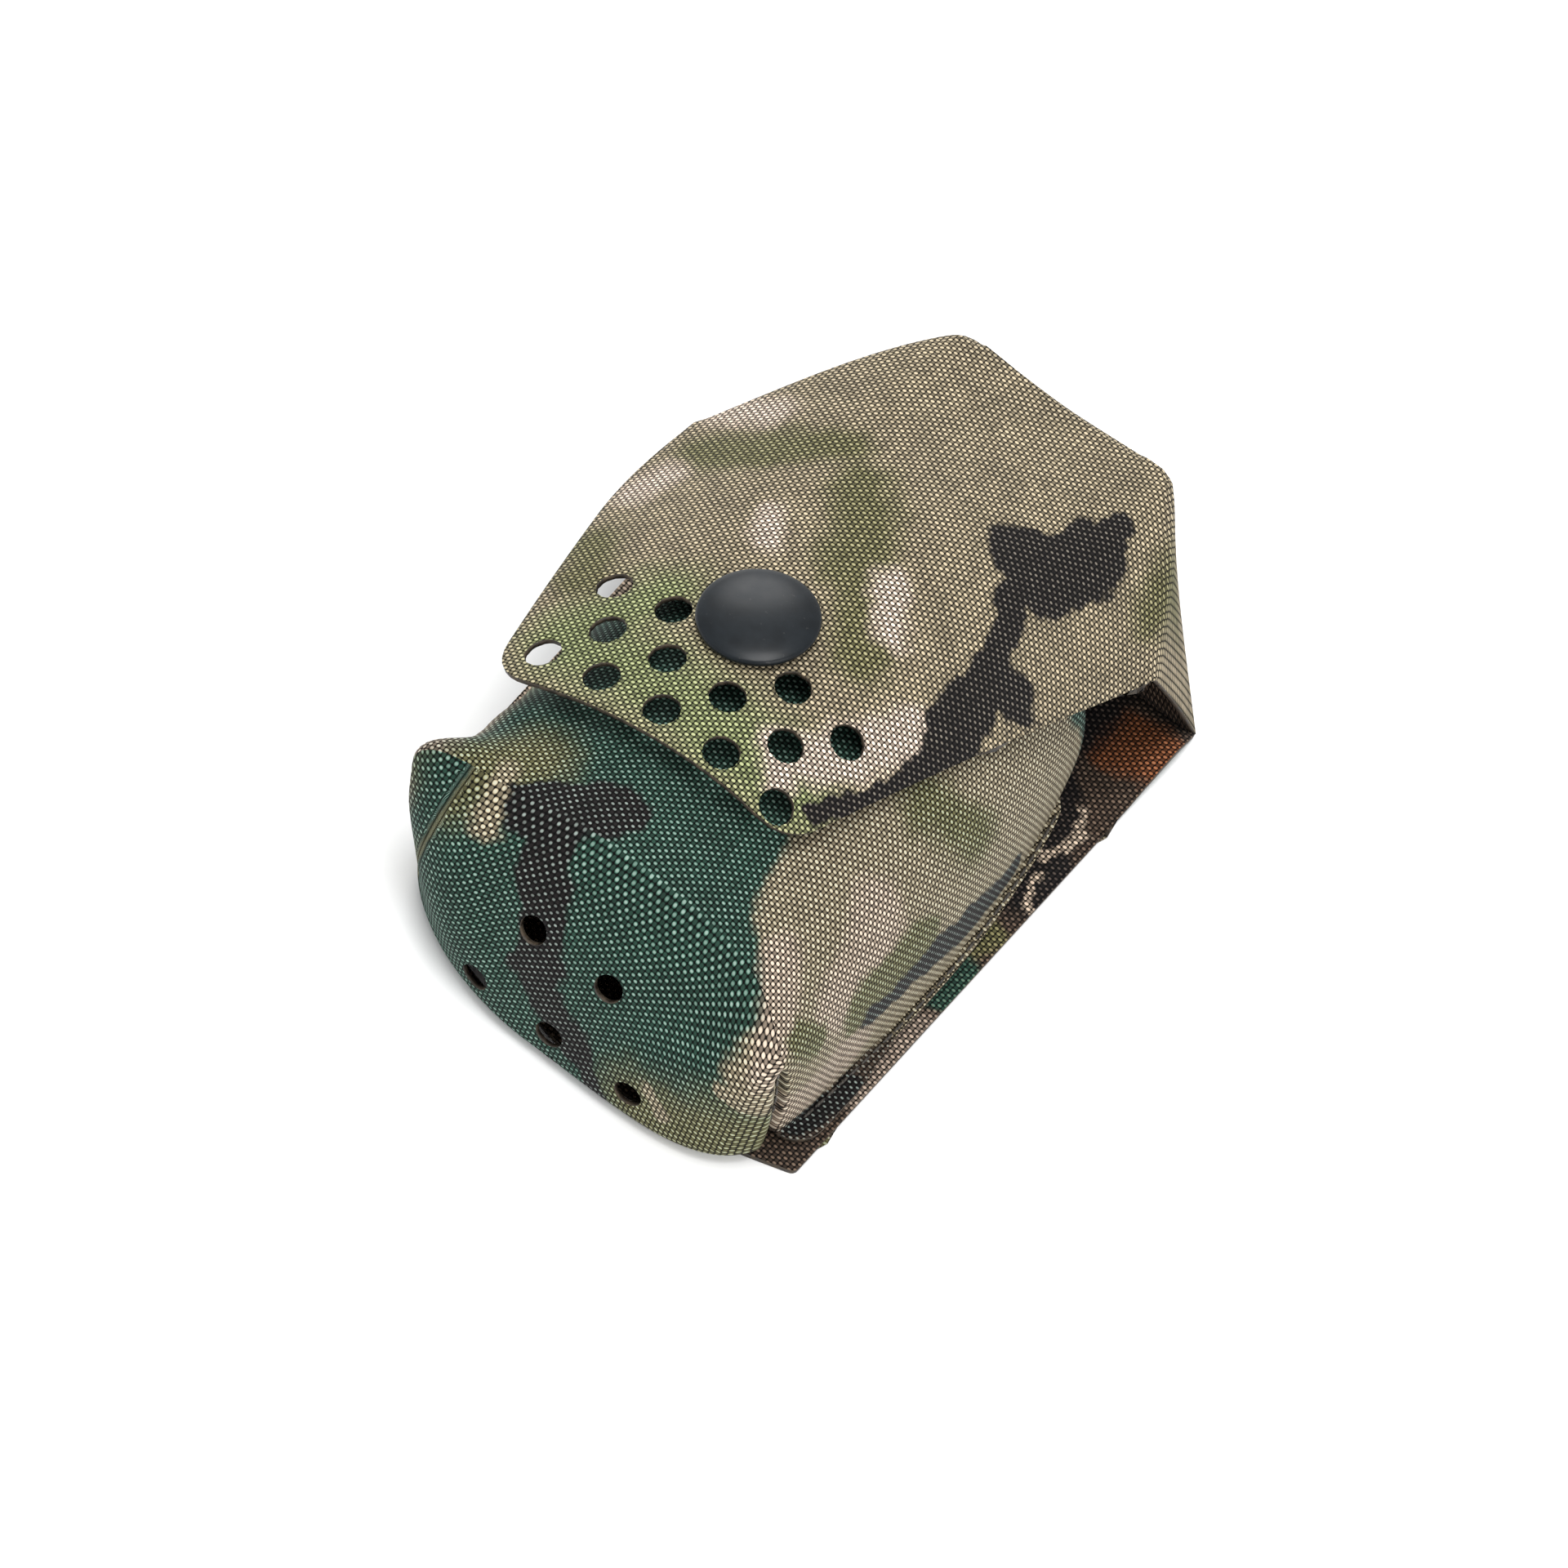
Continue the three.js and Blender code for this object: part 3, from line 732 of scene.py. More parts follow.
def vault_x(arc):
    """Plan x of a point at a distance round the vault from its crest line."""
    radius = vault_radius(arc)
    x = abs(arc)
    for _ in range(6):
        slope = x / radius
        length = 0.5 * (x * math.sqrt(1 + slope * slope) + radius * math.asinh(slope))
        x -= (length - abs(arc)) / math.sqrt(1 + slope * slope)
    return math.copysign(x, arc)


def flap_surface(arc, y):
    x = vault_x(arc)
    vault = x * x / (2 * vault_radius(arc))
    near_crease = ease(20, 52, y)
    vault = blend_value(vault, max(vault, CREASE_VAULT), near_crease)
    z = FLAP_CREST_Z - FLAP_FALL * (y - CREST_Y) ** 2 - vault
    z += CREASE_LIFT * ease(22, 54, y) - CREASE_HOLLOW * near_crease * bell(x, CREASE_MIDDLE, 9.0)
    z -= SHOULDER_DROP * ease(-18, -38, x) * ease(-18, 20, y)
    return Vector((x, y, z))


def bag_section(y):
    towards_mouth = max(y - CREST_Y, 0.0)
    towards_nose = max(CREST_Y - y, 0.0)
    half = BAG_HALF - MOUTH_PINCH * (towards_mouth / (MOUTH_Y - CREST_Y)) ** 2 - 0.0018 * towards_nose ** 2
    crest = CREST_Z - BASE_Z - CREST_FALL * towards_mouth ** 2 - 0.0016 * towards_nose ** 2
    return half, crest


def nose_power(theta):
    right = 2.0 * bell(theta, DART_ANGLE, math.radians(17)) + 1.2 * bell(theta, 0.0, math.radians(16))
    left_angle = math.pi - theta
    left = 1.2 * bell(left_angle, DART_ANGLE, math.radians(16)) - 0.5 * bell(left_angle, 0.0, math.radians(14))
    return SECTION_POWER + right + left


def bag_surface(theta, y, turn):
    """A point of the bag's outer face: theta runs round the section, turn round the bottom from 0 to 90 degrees."""
    half, crest = bag_section(max(y, NOSE_START))
    exponent = nose_power(theta)
    shrink = max(math.cos(turn), 0.0) ** (2 / exponent)
    reach = max(math.sin(turn), 0.0) ** (2 / exponent)
    side_angle = min(theta, math.pi - theta)
    is_left = theta > math.pi / 2
    dart_turn = blend_value(DART_FOOT_TURN, DART_TOP_TURN, ease(0, DART_ANGLE, side_angle))
    ear = (0.27 if is_left else 0.05) * bell(side_angle, DART_ANGLE * (1.2 if is_left else 1.05), math.radians(15))
    along = bell(y, NOSE_START, 8.0) if y > NOSE_START else 1.0
    shrink *= 1 + ear * along * bell(turn, DART_TOP_TURN * 0.9, math.radians(18))
    below = ease(math.radians(31), math.radians(22), side_angle)
    recess = 1.9 * below * bell(turn, dart_turn, math.radians(2.6))
    step = 0.9 * below * ease(dart_turn - math.radians(16), dart_turn, turn) * (1.0 if turn < dart_turn else 0.0)
    past_dart = ease(dart_turn - math.radians(3), dart_turn + math.radians(2), turn)
    floor = blend_value(FLANGE_Z, 0.08, past_dart)
    top = crest + BASE_Z
    x = shrink * half * power(math.cos(theta), 2 / SECTION_POWER)
    z = floor + (top - floor) * shrink * abs(math.sin(theta)) ** (2 / SECTION_POWER)
    place = Vector((x, y - NOSE_DEPTH * reach, z))
    inward = Vector((-math.copysign(0.8, x), 0.6, 0.0)) * (recess + step)
    place += inward
    if past_dart > 0 and z < LIP_RADIUS:
        tuck = LIP_RADIUS - math.sqrt(max(LIP_RADIUS ** 2 - (LIP_RADIUS - z) ** 2, 0.0))
        towards = Vector((-place.x / BAG_HALF, -(place.y - NOSE_START) / NOSE_DEPTH, 0.0))
        place += towards.normalized() * tuck * past_dart
    return place


# ---------------------------------------------------------------- operators
class POUCH_OT_back_panel(bpy.types.Operator):
    """Build the back panel: the flat part of the blank, its left bottom corner rounded up into the bag"""

    bl_idname = "pouch.back_panel"
    bl_label = "Back panel"

    def execute(self, context):
        half = PANEL_HALF
        foot = PANEL_LOW.y + 1.2
        corners = [
            ((0, TOP_Y), 0), ((half, TOP_Y), 0), ((half + 0.2, -43.0), 0.8), ((20, foot + 2.2), 9), ((2, foot), 9),
            ((-18, foot + 7), 9), ((-half + 1, -30), 8), ((-half, TOP_Y), 0), ((0, TOP_Y), 0),
        ]
        outline = [tuple(p) for p in rounded_path(corners, 1.4)][:-1]
        flat, faces = cut_flat(outline, [], 2.0)
        thickness = context.scene.pouch_cloth.thickness / MM
        bm = bmesh.new()
        verts = []
        for x, y in flat:
            curl = 1.6 * ease(26, half, x) * ease(24, 38, y) * ease(TOP_Y + 1, 38, y)
            lift = 3.0 * ease(-24, -34, x) * ease(-20, -38, y)
            verts.append(bm.verts.new((x, y, thickness + curl + lift)))
        for face in faces:
            bm.faces.new([verts[k] for k in face])
        bmesh.ops.recalc_face_normals(bm, faces=bm.faces)
        if sum(face.normal.z for face in bm.faces) < 0:
            bmesh.ops.reverse_faces(bm, faces=bm.faces)
        set_uv(bm, lambda face, vert: (vert.co.x, vert.co.y))
        area = skin_area(bm)
        obj = finish_mesh("panel_sheet", bm, [shared("inner"), shared("bag"), shared("edge")])
        thicken(obj, thickness * MM)
        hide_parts("back_panel")
        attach(obj, "root")
        return {"FINISHED"}


class POUCH_OT_bag(bpy.types.Operator):
    """Build the bag: front, folded sides, flanges and the rounded, darted bottom with its drain holes"""

    bl_idname = "pouch.bag"
    bl_label = "Bag"

    round_steps = 120
    body_step = 1.5

    def execute(self, context):
        stations = self.stations()
        bm = bmesh.new()
        rows = []
        for y, turn in stations:
            row = []
            for k in range(self.round_steps + 1):
                theta = math.pi * k / self.round_steps
                row.append(bm.verts.new(bag_surface(theta, y, turn)))
            rows.append(row)
        chart = {}
        for i, (y, turn) in enumerate(stations):
            arc = self.arcs([v.co for v in rows[i]])
            for k, vert in enumerate(rows[i]):
                chart[vert] = (arc[k], y, turn)
        faces_of = {}
        for i in range(len(rows) - 1):
            for k in range(self.round_steps):
                quad = (rows[i][k], rows[i][k + 1], rows[i + 1][k + 1], rows[i + 1][k])
                face = bm.faces.new(quad)
                faces_of[face] = stations[i][1] + stations[i + 1][1]
        self.add_flanges(bm, rows, stations, chart, faces_of)
        bmesh.ops.recalc_face_normals(bm, faces=bm.faces)
        crown = max(bm.faces, key=lambda face: face.calc_center_median().z)
        if crown.normal.z < 0:
            bmesh.ops.reverse_faces(bm, faces=bm.faces)
        self.write_uv(bm, chart, faces_of, rows, stations)
        bmesh.ops.remove_doubles(bm, verts=bm.verts, dist=0.004)
        area = skin_area(bm)
        obj = finish_mesh("bag_sheet", bm, [shared("bag"), shared("inner"), shared("edge")])
        thicken(obj, context.scene.pouch_cloth.thickness)
        self.drill(obj, context)
        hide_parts("bag_shell")
        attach(obj, "root")
        return {"FINISHED"}

    def stations(self):
        """(y, turn) of each row, from the mouth to the floor, closer together across the darts."""
        span = MOUTH_Y - NOSE_START
        count = int(span / self.body_step)
        made = [(MOUTH_Y - span * k / count, 0.0) for k in range(count + 1)]
        degrees = list(np.linspace(1.5, 10, 6)) + list(np.linspace(10.8, 30, 25)) + list(np.linspace(32, 86, 28))
        degrees += [87.6, 89.0, 89.8]
        return made + [(NOSE_START, math.radians(d)) for d in degrees]

    def arcs(self, points):
        """Distance round the section from its crest, positive towards +x."""
        run = [0.0]
        for a, b in zip(points, points[1:]):
            run.append(run[-1] + (b - a).length)
        middle = run[len(run) // 2]
        return [middle - r for r in run]

    def add_flanges(self, bm, rows, stations, chart, faces_of):
        last = max(i for i, (_, turn) in enumerate(stations) if turn < math.radians(14))
        first = 2
        total = sum((rows[i + 1][0].co - rows[i][0].co).length for i in range(first, last))
        for end in (0, self.round_steps):
            side = 1 if end == 0 else -1
            run = 0.0
            before = None
            for i in range(first, last + 1):
                base = rows[i][end]
                if i > first:
                    run += (base.co - rows[i - 1][end].co).length
                rounding = math.sqrt(max(1 - (1 - min(run, total - run, 4.0) / 4.0) ** 2, 0.0))
                wide = ease(-18, -32, base.co.y) if side > 0 else 0.0
                reach = FLANGE_LIP + (FLANGE_EDGE - BAG_HALF - FLANGE_LIP) * wide
                width = max(reach * rounding, 0.02)
                strip = [base]
                for share in (0.34, 0.67, 1.0):
                    x = base.co.x + side * width * share
                    vert = bm.verts.new((x, base.co.y, FLANGE_Z - 0.05 * share))
                    chart[vert] = (chart[base][0] + side * width * share, chart[base][1], chart[base][2])
                    strip.append(vert)
                if before:
                    for k in range(3):
                        face = bm.faces.new((strip[k], strip[k + 1], before[k + 1], before[k]))
                        faces_of[face] = 0.0
                before = strip

    def write_uv(self, bm, chart, faces_of, rows, stations):
        dart_row = min(range(len(stations)), key=lambda i: abs(stations[i][1] - DART_TOP_TURN) if stations[i][1] else 9)
        bend = sorted((v.co.x, v.co.z) for v in rows[dart_row])
        bend_x = [p[0] for p in bend]
        bend_z = [p[1] for p in bend]
        bend_y = sum(v.co.y for v in rows[dart_row]) / len(rows[dart_row])

        def place(face, vert):
            arc, y, turn = chart[vert]
            turned = faces_of[face] / 2
            centre = face.calc_center_median()
            if turned < DART_TOP_TURN * 0.94:
                return (arc, vert.co.y)
            reach = min(max(vert.co.x, -25.0), 25.0)
            edge = float(np.interp(reach, bend_x, bend_z))
            side = blend_value(1.0, 0.0, ease(DART_TOP_TURN, DART_TOP_TURN * 2.2, turned))
            across = blend_value(vert.co.x, arc, side * ease(24, 12, abs(centre.x)))
            return (across, bend_y - (edge - vert.co.z))

        set_uv(bm, place)

    def drill(self, obj, context):
        """Cuts the drain holes square to the bottom wall."""
        radius = context.scene.pouch_cloth.drain_radius / MM
        bm = bmesh.new()
        for height, places in ((18.2, (-7.3, 4.2)), (5.6, (-11.1, 0.3, 12.2))):
            for x in places:
                spot = Matrix.Translation((x, -48.0, height)) @ Matrix.Rotation(math.radians(90), 4, "X")
                bmesh.ops.create_cone(bm, cap_ends=True, segments=28, radius1=radius, radius2=radius, depth=14,
                                      matrix=spot)
        cutter = finish_mesh("drain_cutter", bm, [shared("edge")])
        modifier = obj.modifiers.new("drains", "BOOLEAN")
        modifier.operation = "DIFFERENCE"
        modifier.solver = "EXACT"
        modifier.object = cutter
        apply_modifiers(obj)
        bpy.data.objects.remove(cutter)


class POUCH_OT_flap(bpy.types.Operator):
    """Build the flap and the top wall as one folded sheet with its vent holes"""

    bl_idname = "pouch.flap"
    bl_label = "Flap"

    wall_rows = 16

    def execute(self, context):
        step = 1.25
        crease = rounded_path(
            [(FLAP_SHOULDER_LEFT, 0), (CREASE_LEFT, CREASE_ROUNDING), (CREASE_RIGHT, CREASE_ROUNDING),
             (FLAP_SHOULDER_RIGHT, 0)], step)
        free = rounded_path(
            [(FLAP_SHOULDER_RIGHT, 0), (FLAP_TIP_RIGHT, TIP_ROUNDING), (FLAP_TIP_LEFT, TIP_ROUNDING),
             (FLAP_SIDE_LEFT, SIDE_ROUNDING), (FLAP_SHOULDER_LEFT, 0)], step)
        outline = [tuple(p) for p in crease[:-1] + free[:-1]]
        flat, faces = cut_flat(outline, self.vents(context), step)
        bm = bmesh.new()
        chart = {}
        verts = []
        for arc, y in flat:
            vert = bm.verts.new(flap_surface(arc, y))
            chart[vert] = (arc, y)
            verts.append(vert)
        for face in faces:
            bm.faces.new([verts[k] for k in face])
        by_place = {(round(a, 3), round(b, 3)): v for (a, b), v in zip(flat, verts)}
        top = [by_place[(round(p.x, 3), round(p.y, 3))] for p in crease]
        below = self.add_wall(bm, top, chart)
        bmesh.ops.recalc_face_normals(bm, faces=bm.faces)
        crown = max(bm.faces, key=lambda face: face.calc_center_median().z)
        if crown.normal.z < 0:
            bmesh.ops.reverse_faces(bm, faces=bm.faces)
        self.soften(top, below, chart)
        set_uv(bm, lambda face, vert: chart[vert])
        area = skin_area(bm)
        obj = finish_mesh("flap_sheet", bm, [shared("face"), shared("inner"), shared("edge")])
        thicken(obj, context.scene.pouch_cloth.thickness)
        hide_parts("flap", "top_wall")
        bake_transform(obj)
        return {"FINISHED"}

    def vents(self, context):
        """The rows of vents below the snap, in the flap's own turned frame."""
        sizes = context.scene.pouch_cloth
        radius, pitch = sizes.vent_radius / MM, sizes.vent_pitch / MM
        low, high = node_box_mm("snap_cap")
        snap = (low + high) / 2
        turn = Matrix.Rotation(FLAP_TURN, 2)
        made = []
        for drop, count in VENT_ROWS:
            for k in range(count):
                across = (k - (count - 1) / 2) * pitch
                if abs(across) < 1 and drop > -10:
                    continue
                spot = turn @ Vector((across, drop))
                made.append((snap.x + spot.x, snap.y + spot.y, radius))
        return made

    def add_wall(self, bm, top, chart):
        """The top wall, ruled from the crease down to the straight fold at the panel's top edge."""
        runs = [0.0]
        for a, b in zip(top, top[1:]):
            runs.append(runs[-1] + (b.co - a.co).length)
        total = runs[-1]
        left = min(range(len(top)), key=lambda k: (top[k].co.xy - Vector((vault_x(CREASE_LEFT[0]), CREASE_LEFT[1]))).length)
        right = min(range(len(top)), key=lambda k: (top[k].co.xy - Vector((vault_x(CREASE_RIGHT[0]), CREASE_RIGHT[1]))).length)
        foot_z = 0.5
        rows = [top]
        drop = 27.0
        for row in range(1, self.wall_rows + 1):
            share = row / self.wall_rows
            here = []
            for k, vert in enumerate(top):
                spread = ease(runs[left] * 0.45, runs[right] + (total - runs[right]) * 0.55, runs[k])
                foot = Vector((blend_value(-PANEL_HALF, PANEL_HALF, spread), TOP_Y + 0.35, foot_z))
                point = vert.co.lerp(foot, share)
                bulge = math.sin(math.pi * share) * 0.4
                point.y += bulge
                new = bm.verts.new(point)
                arc, y = chart[vert]
                chart[new] = (blend_value(arc, foot.x, share), y + share * drop)
                here.append(new)
            for k in range(len(top) - 1):
                bm.faces.new((rows[-1][k], rows[-1][k + 1], here[k + 1], here[k]))
            rows.append(here)
        return rows[1]

    def soften(self, top, below, chart):
        """Rounds the crease: each of its points is drawn in between the cloth on either side."""
        for vert, wall in zip(top[1:-1], below[1:-1]):
            arc, y = chart[vert]
            inner = flap_surface(arc, y - CREASE_SOFTNESS)
            vert.co = vert.co * 0.5 + (inner + wall.co) * 0.25


def snap_axis():
    """Origin and directions of the snap, read from the CAD cap, which is a body of revolution."""
    points = world_points("snap_cap")
    middle = points.mean(0)
    values, vectors = np.linalg.eigh(np.cov((points - middle).T))
    axis = vectors[:, 0] * (1 if vectors[2, 0] > 0 else -1)
    apex = points[np.argmax(points @ axis)]
    return Vector(apex), Vector(axis).normalized()


def world_points(node):
    obj = next(o for o in bpy.context.scene.objects if o.get("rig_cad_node") == node)
    return np.array([tuple(v.co) for v in obj.data.vertices]) / MM


def along_axis(node):
    """Lowest and highest reach of a CAD snap part along the snap's axis, and its radius."""
    apex, axis = snap_axis()
    offsets = (world_points(node) - np.array(apex)) @ np.array(axis)
    low, high = node_box_mm(node)
    return offsets.min(), offsets.max(), (high.y - low.y) / 2


def turned_piece(name, profile, material, body, node, sides=72):
    """Spins a closed (radius, height) profile round the snap's axis."""
    apex, axis = snap_axis()
    frame_of = Matrix.Translation(apex) @ axis.to_track_quat("Z", "X").to_matrix().to_4x4()
    bm = bmesh.new()
    rings = []
    for radius, height in profile:
        if radius < 1e-6:
            rings.append([bm.verts.new((0, 0, height))])
            continue
        rings.append([bm.verts.new((radius * math.cos(math.tau * k / sides), radius * math.sin(math.tau * k / sides),
                                    height)) for k in range(sides)])
    count = len(profile)
    closed = profile[0][0] > 1e-6
    for i in range(count if closed else count - 1):
        a, b = rings[i], rings[(i + 1) % count]
        for k in range(sides):
            corners = [a[k % len(a)], a[(k + 1) % len(a)], b[(k + 1) % len(b)], b[k % len(b)]]
            unique = list(dict.fromkeys(corners))
            if len(unique) > 2:
                bm.faces.new(unique)
    bmesh.ops.recalc_face_normals(bm, faces=bm.faces)
    bm.transform(frame_of)
    obj = finish_mesh(name, bm, [material])
    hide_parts(node)
    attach(obj, body)
    return obj


def arc_points(centre, radius, start_deg, end_deg, steps):
    """Points of an arc in a (radius, height) profile."""
    made = []
    for k in range(steps + 1):
        turn = math.radians(blend_value(start_deg, end_deg, k / steps))
        made.append((centre[0] + radius * math.cos(turn), centre[1] + radius * math.sin(turn)))
    return made


class POUCH_OT_snap(bpy.types.Operator):
    """Build the four pieces of the snap: domed cap, spring socket, stud and its eyelet"""

    bl_idname = "pouch.snap"
    bl_label = "Snap fastener"

    def execute(self, context):
        colour = context.scene.pouch_colours.snap_black
        satin = snap_material("snap_cap_black", colour, 0.30, 0.12)
        stamped = snap_material("snap_stamped_black", [c * 1.5 for c in colour], 0.38, 0.3)
        self.cap(satin)
        self.socket(stamped)
        self.stud(stamped)
        self.eyelet(stamped)
        return {"FINISHED"}

    def cap(self, material):
        low, high, radius = along_axis("snap_cap")
        rim = 0.55
        under = high - 2.25
        post = 1.7
        dome = 1.15
        profile = [(0.0, low), (post * 0.8, low), (post, low + 0.25), (post, under)]
        profile += [(radius * 0.6, under), (radius - rim, under)]
        profile += arc_points((radius - rim, under + rim), rim, -90, 70, 9)
        edge_r, edge_z = profile[-1]
        for k in range(1, 15):
            t = k / 14
            r = edge_r * (1 - t)
            profile.append((max(r, 0.0), edge_z + (high - edge_z) * (1 - (r / edge_r) ** 2) ** 0.8))
        profile[-1] = (0.0, high)
        turned_piece("snap_cap_domed", profile, material, "lid", "snap_cap")

    def socket(self, material):
        low, high, radius = along_axis("snap_socket")
        bore = 3.0
        bead = 0.28
        profile = [(bore, low + bead), (bore + bead, low)]
        profile += [(radius * 0.72, low), (radius * 0.78, low + 0.2), (radius - bead, low + 0.1)]
        profile += arc_points((radius - bead, low + 0.1 + bead), bead, -90, 60, 6)
        profile += [(radius - 0.3, high - 0.4), (radius - 0.8, high), (bore + bead, high), (bore, high - bead)]
        turned_piece("snap_socket_ring", profile, material, "lid", "snap_socket")

    def stud(self, material):
        low, high, radius = along_axis("snap_stud")
        knob = 2.7
        neck = 2.15
        flange = 0.7
        profile = [(0.0, low), (radius - 0.3, low)]
        profile += arc_points((radius - 0.35, low + 0.35), 0.35, -90, 90, 8)
        profile += [(neck + 0.3, low + flange), (neck, low + flange + 0.2)]
        profile += arc_points((knob - 0.4, high - 0.55), 0.4, -40, 90, 8)
        profile += [(1.3, high - 0.15), (1.1, high - 0.5), (0.0, high - 0.5)]
        turned_piece("snap_stud_post", profile, material, "root", "snap_stud")

    def eyelet(self, material):
        low, high, radius = along_axis("stud_eyelet")
        post = 1.7
        profile = [(0.0, low + 0.25), (1.1, low + 0.25), (1.3, low), (radius - 0.3, low)]
        profile += arc_points((radius - 0.35, low + 0.35), 0.35, -90, 90, 8)
        profile += [(post + 0.2, low + 0.7), (post, low + 0.9), (post, high), (0.0, high)]
        turned_piece("snap_stud_eyelet", profile, material, "root", "stud_eyelet")


# ---------------------------------------------------------------- stitching
def stitch_tree(material):
    """Geometry nodes that lay one thread loop after another along a path."""
    tree = bpy.data.node_groups.new("Lockstitch", "GeometryNodeTree")
    for label, kind, default in (
        ("Path", "NodeSocketGeometry", None), ("Stitch length", "NodeSocketFloat", 0.0022),
        ("Thread radius", "NodeSocketFloat", 0.00022), ("Seed", "NodeSocketInt", 3),
    ):
        socket = tree.interface.new_socket(label, in_out="INPUT", socket_type=kind)
        if default is not None:
            socket.default_value = default
    tree.interface.new_socket("Stitches", in_out="OUTPUT", socket_type="NodeSocketGeometry")
    nodes, links = tree.nodes, tree.links
    given, result = nodes.new("NodeGroupInput"), nodes.new("NodeGroupOutput")

    def link(a, b):
        links.new(a, b)

    resample = nodes.new("GeometryNodeResampleCurve")
    resample.mode = "LENGTH"
    link(given.outputs["Path"], resample.inputs["Curve"])
    link(given.outputs["Stitch length"], resample.inputs["Length"])
    ball = nodes.new("GeometryNodeMeshUVSphere")
    ball.inputs["Segments"].default_value = 8
    ball.inputs["Rings"].default_value = 8
    link(given.outputs["Thread radius"], ball.inputs["Radius"])
    stretch = nodes.new("GeometryNodeTransform")
    link(ball.outputs["Mesh"], stretch.inputs["Geometry"])
    share = nodes.new("ShaderNodeMath")
    share.operation = "DIVIDE"
    link(given.outputs["Stitch length"], share.inputs[0])
    link(given.outputs["Thread radius"], share.inputs[1])
    half = nodes.new("ShaderNodeMath")
    half.operation = "MULTIPLY"
    half.inputs[1].default_value = 0.44
    link(share.outputs[0], half.inputs[0])
    scale = nodes.new("ShaderNodeCombineXYZ")
    scale.inputs["X"].default_value = 1.0
    scale.inputs["Y"].default_value = 1.0
    link(half.outputs[0], scale.inputs["Z"])
    link(scale.outputs[0], stretch.inputs["Scale"])
    tangent = nodes.new("GeometryNodeInputTangent")
    aim = nodes.new("FunctionNodeAlignRotationToVector")
    aim.axis = "Z"
    link(tangent.outputs[0], aim.inputs["Vector"])
    place = nodes.new("GeometryNodeInstanceOnPoints")
    link(resample.outputs["Curve"], place.inputs["Points"])
    link(stretch.outputs["Geometry"], place.inputs["Instance"])
    link(aim.outputs[0], place.inputs["Rotation"])
    wobble = nodes.new("FunctionNodeRandomValue")
    wobble.data_type = "FLOAT"
    wobble.inputs[2].default_value = 0.93
    wobble.inputs[3].default_value = 1.05
    link(given.outputs["Seed"], wobble.inputs["Seed"])
    link(wobble.outputs[1], place.inputs["Scale"])
    real = nodes.new("GeometryNodeRealizeInstances")
    link(place.outputs["Instances"], real.inputs["Geometry"])
    paint = nodes.new("GeometryNodeSetMaterial")
    paint.inputs["Material"].default_value = material
    link(real.outputs["Geometry"], paint.inputs["Geometry"])
    link(paint.outputs["Geometry"], result.inputs["Stitches"])
    return tree


def stitched(name, points, tree, material, nodes):
    """A plain mesh of stitches along a path of points in millimetres."""
    sizes = bpy.context.scene.pouch_stitches
    curve = bpy.data.curves.new(name + "_path", "CURVE")
    curve.dimensions = "3D"
    spline = curve.splines.new("POLY")
    spline.points.add(len(points) - 1)
    for slot, point in zip(spline.points, points):
        slot.co = (*(Vector(point) * MM), 1)
    path = bpy.data.objects.new(name + "_path", curve)
    bpy.context.scene.collection.objects.link(path)
    modifier = path.modifiers.new("stitches", "NODES")
    modifier.node_group = tree
    ids = {item.name: item.identifier for item in tree.interface.items_tree if item.in_out == "INPUT"}
    modifier[ids["Stitch length"]] = sizes.length
    modifier[ids["Thread radius"]] = sizes.radius
    graph = bpy.context.evaluated_depsgraph_get()
    mesh = bpy.data.meshes.new_from_object(path.evaluated_get(graph), depsgraph=graph)
    path.modifiers.clear()
    bpy.data.objects.remove(path)
    if not mesh.polygons:
        raise RuntimeError(f"{name}: the stitches came out empty")
    mesh.name = name
    mesh.materials.clear()
    mesh.materials.append(material)
    mesh.polygons.foreach_set("use_smooth", [True] * len(mesh.polygons))
    obj = bpy.data.objects.new(name, mesh)
    bpy.context.scene.collection.objects.link(obj)
    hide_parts(*nodes)
    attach(obj, "root")
    return obj


class POUCH_OT_stitching(bpy.types.Operator):
    """Sew the side flanges to the panel and close the bottom darts"""

    bl_idname = "pouch.stitching"
    bl_label = "Stitching"

    def execute(self, context):
        material = thread_material()
        tree = stitch_tree(material)
        for side, label in ((1, "right"), (-1, "left")):
            seam = []
            for k in range(40):
                y = blend_value(SEAM_LOW.y, SEAM_HIGH.y - 2.5, k / 39)
                half = bag_section(y)[0]
                seam.append((side * (half + FLANGE_LIP * 0.55), y, FLANGE_Z + 0.08))
            stitched("seam_stitches_" + label, seam, tree, material, ["seam_thread_" + label])
            dart = []
            for k in range(14):
                share = k / 13
                theta = blend_value(math.radians(5), math.radians(25), share)
                turn = blend_value(DART_FOOT_TURN, DART_TOP_TURN, ease(0, DART_ANGLE, theta))
                angle = theta if side > 0 else math.pi - theta
                point = bag_surface(angle, NOSE_START, turn)
                dart.append(point + Vector((side * 0.1, -0.1, 0)))
            stitched("dart_stitches_" + label, dart, tree, material, ["dart_thread_" + label])
        return {"FINISHED"}


# ---------------------------------------------------------------- stage
# The camera's own directions in the pouch's frame: right, up and towards the viewer.
VIEW_RIGHT = Vector((0.789, 0.566, 0.238))
VIEW_UP = Vector((-0.595, 0.607, 0.527))
VIEW_BACK = Vector((0.154, -0.557, 0.816))
CAMERA_DISTANCE = 3.0
LENS_PER_METRE = 192.2
AIM_FROM_SNAP = (0.0031, -0.0197)


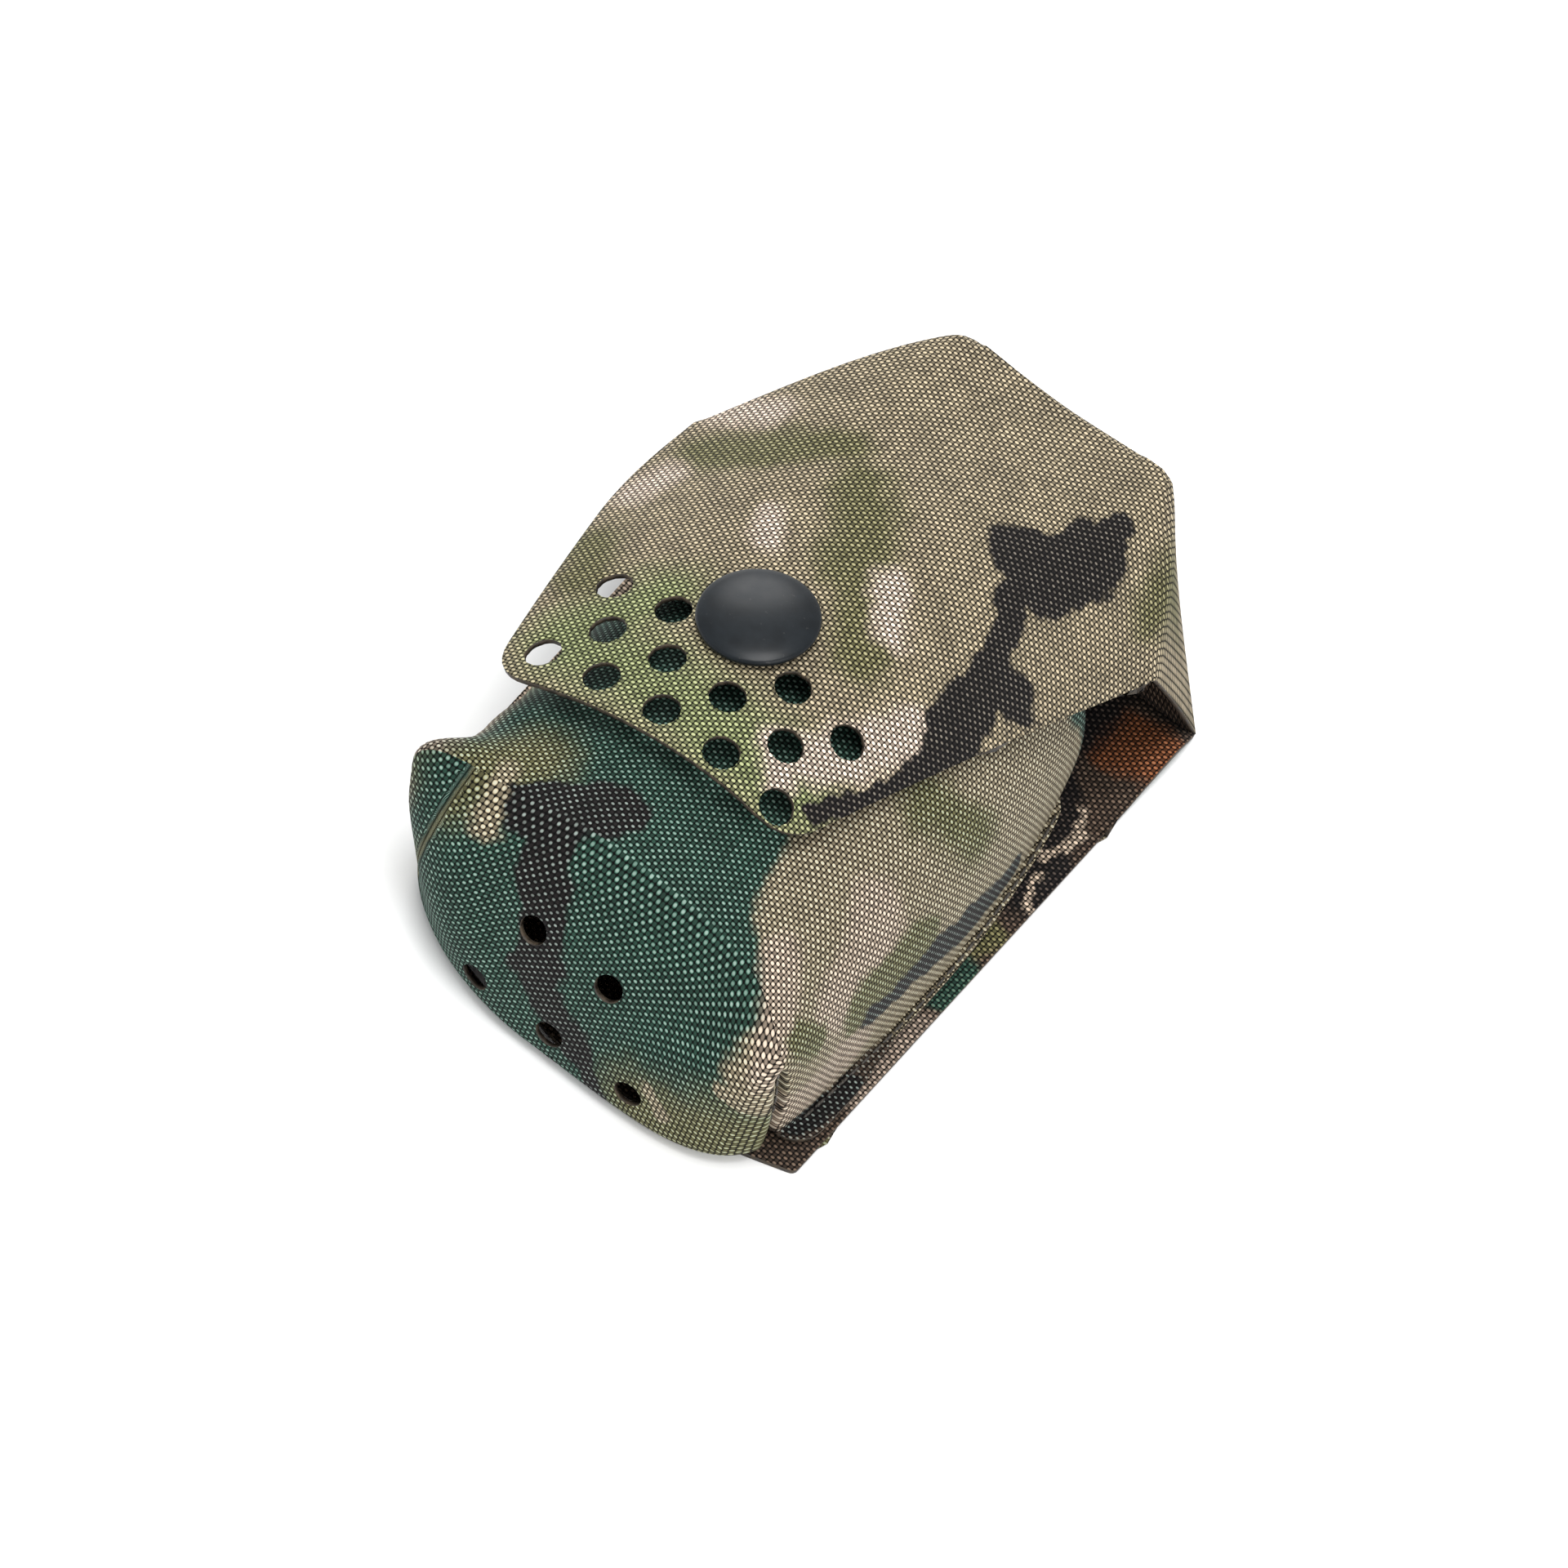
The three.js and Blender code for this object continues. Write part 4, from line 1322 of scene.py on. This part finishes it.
class POUCH_OT_stage(bpy.types.Operator):
    """Set the white floor, the soft lights and the camera"""

    bl_idname = "pouch.stage"
    bl_label = "Stage"

    def execute(self, context):
        self.floor()
        self.lights(context)
        self.camera(context)
        context.scene.view_settings.view_transform = "Standard"
        return {"FINISHED"}

    def floor(self):
        bm = bmesh.new()
        bmesh.ops.create_grid(bm, x_segments=4, y_segments=4, size=4000)
        bm.transform(Matrix.Translation((0, 0, -0.05)))
        obj = finish_mesh("studio_floor", bm, [floor_material()], smooth=False)

    def lights(self, context):
        world = bpy.data.worlds.new("studio_air")
        world.use_nodes = True
        world.node_tree.nodes["Background"].inputs["Color"].default_value = (1.0, 1.0, 1.0, 1)
        world.node_tree.nodes["Background"].inputs["Strength"].default_value = 0.84
        context.scene.world = world
        self.lamp("key_softbox", (-0.1, -0.1, 1.15), 0.6, 7.5)
        self.lamp("fill_softbox", (0.8, -0.45, 0.7), 0.8, 4.0)
        self.lamp("rim_softbox", (-0.6, 0.7, 0.5), 0.5, 3.0)

    def lamp(self, name, place, size, watts):
        light = bpy.data.lights.new(name, "AREA")
        light.shape = "DISK"
        light.size = size
        light.energy = watts
        obj = bpy.data.objects.new(name, light)
        obj.location = place
        obj.rotation_euler = (Vector((0, 0, 0.02)) - Vector(place)).to_track_quat("-Z", "Y").to_euler()
        bpy.context.scene.collection.objects.link(obj)

    def camera(self, context):
        data = bpy.data.cameras.new("studio_camera")
        data.sensor_width = 36
        data.lens = LENS_PER_METRE * CAMERA_DISTANCE
        data.clip_start = 0.01
        data.clip_end = 20
        camera = bpy.data.objects.new("studio_camera", data)
        context.scene.collection.objects.link(camera)
        back = VIEW_BACK.normalized()
        right = (VIEW_RIGHT - back * VIEW_RIGHT.dot(back)).normalized()
        up = back.cross(right)
        low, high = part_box("snap_cap")
        snap = (low + high) / 2
        aim = snap + right * AIM_FROM_SNAP[0] + up * AIM_FROM_SNAP[1]
        turn = Matrix((right, up, back)).transposed().to_4x4()
        camera.matrix_world = Matrix.Translation(aim + back * CAMERA_DISTANCE) @ turn
        context.scene.camera = camera


# ---------------------------------------------------------------- shared materials
SHARED = {}


def shared(key):
    """The cloth finishes that several pieces use, each made once."""
    makers = {"face": face_cloth, "bag": bag_cloth, "inner": inner_cloth, "edge": edge_material}
    if key not in SHARED:
        SHARED[key] = makers[key]()
    return SHARED[key]


class POUCH_PT_sidebar(bpy.types.Panel):
    """Sizes, colours and build steps of the pouch"""

    bl_idname = "POUCH_PT_sidebar"
    bl_label = "Snap-Flap Field Pouch"
    bl_space_type = "VIEW_3D"
    bl_region_type = "UI"
    bl_category = "Pouch"

    def draw(self, context):
        scene = context.scene
        for group in (scene.pouch_cloth, scene.pouch_colours, scene.pouch_stitches):
            box = self.layout.box()
            for key in group.__annotations__:
                box.prop(group, key)
        for step in BUILD_ORDER:
            self.layout.operator(step.bl_idname)


BUILD_ORDER = (
    POUCH_OT_stage, POUCH_OT_back_panel, POUCH_OT_bag, POUCH_OT_flap, POUCH_OT_snap, POUCH_OT_stitching,
)
CLASSES = (ClothSizes, PouchColours, StitchSizes, *BUILD_ORDER, POUCH_PT_sidebar)


def register():
    for item in CLASSES:
        bpy.utils.register_class(item)
    bpy.types.Scene.pouch_cloth = bpy.props.PointerProperty(type=ClothSizes)
    bpy.types.Scene.pouch_colours = bpy.props.PointerProperty(type=PouchColours)
    bpy.types.Scene.pouch_stitches = bpy.props.PointerProperty(type=StitchSizes)


def unregister():
    del bpy.types.Scene.pouch_stitches
    del bpy.types.Scene.pouch_colours
    del bpy.types.Scene.pouch_cloth
    for item in reversed(CLASSES):
        bpy.utils.unregister_class(item)


def main():
    register()
    for step in BUILD_ORDER:
        group, name = step.bl_idname.split(".")
        getattr(getattr(bpy.ops, group), name)()


if __name__ == "__main__":
    main()
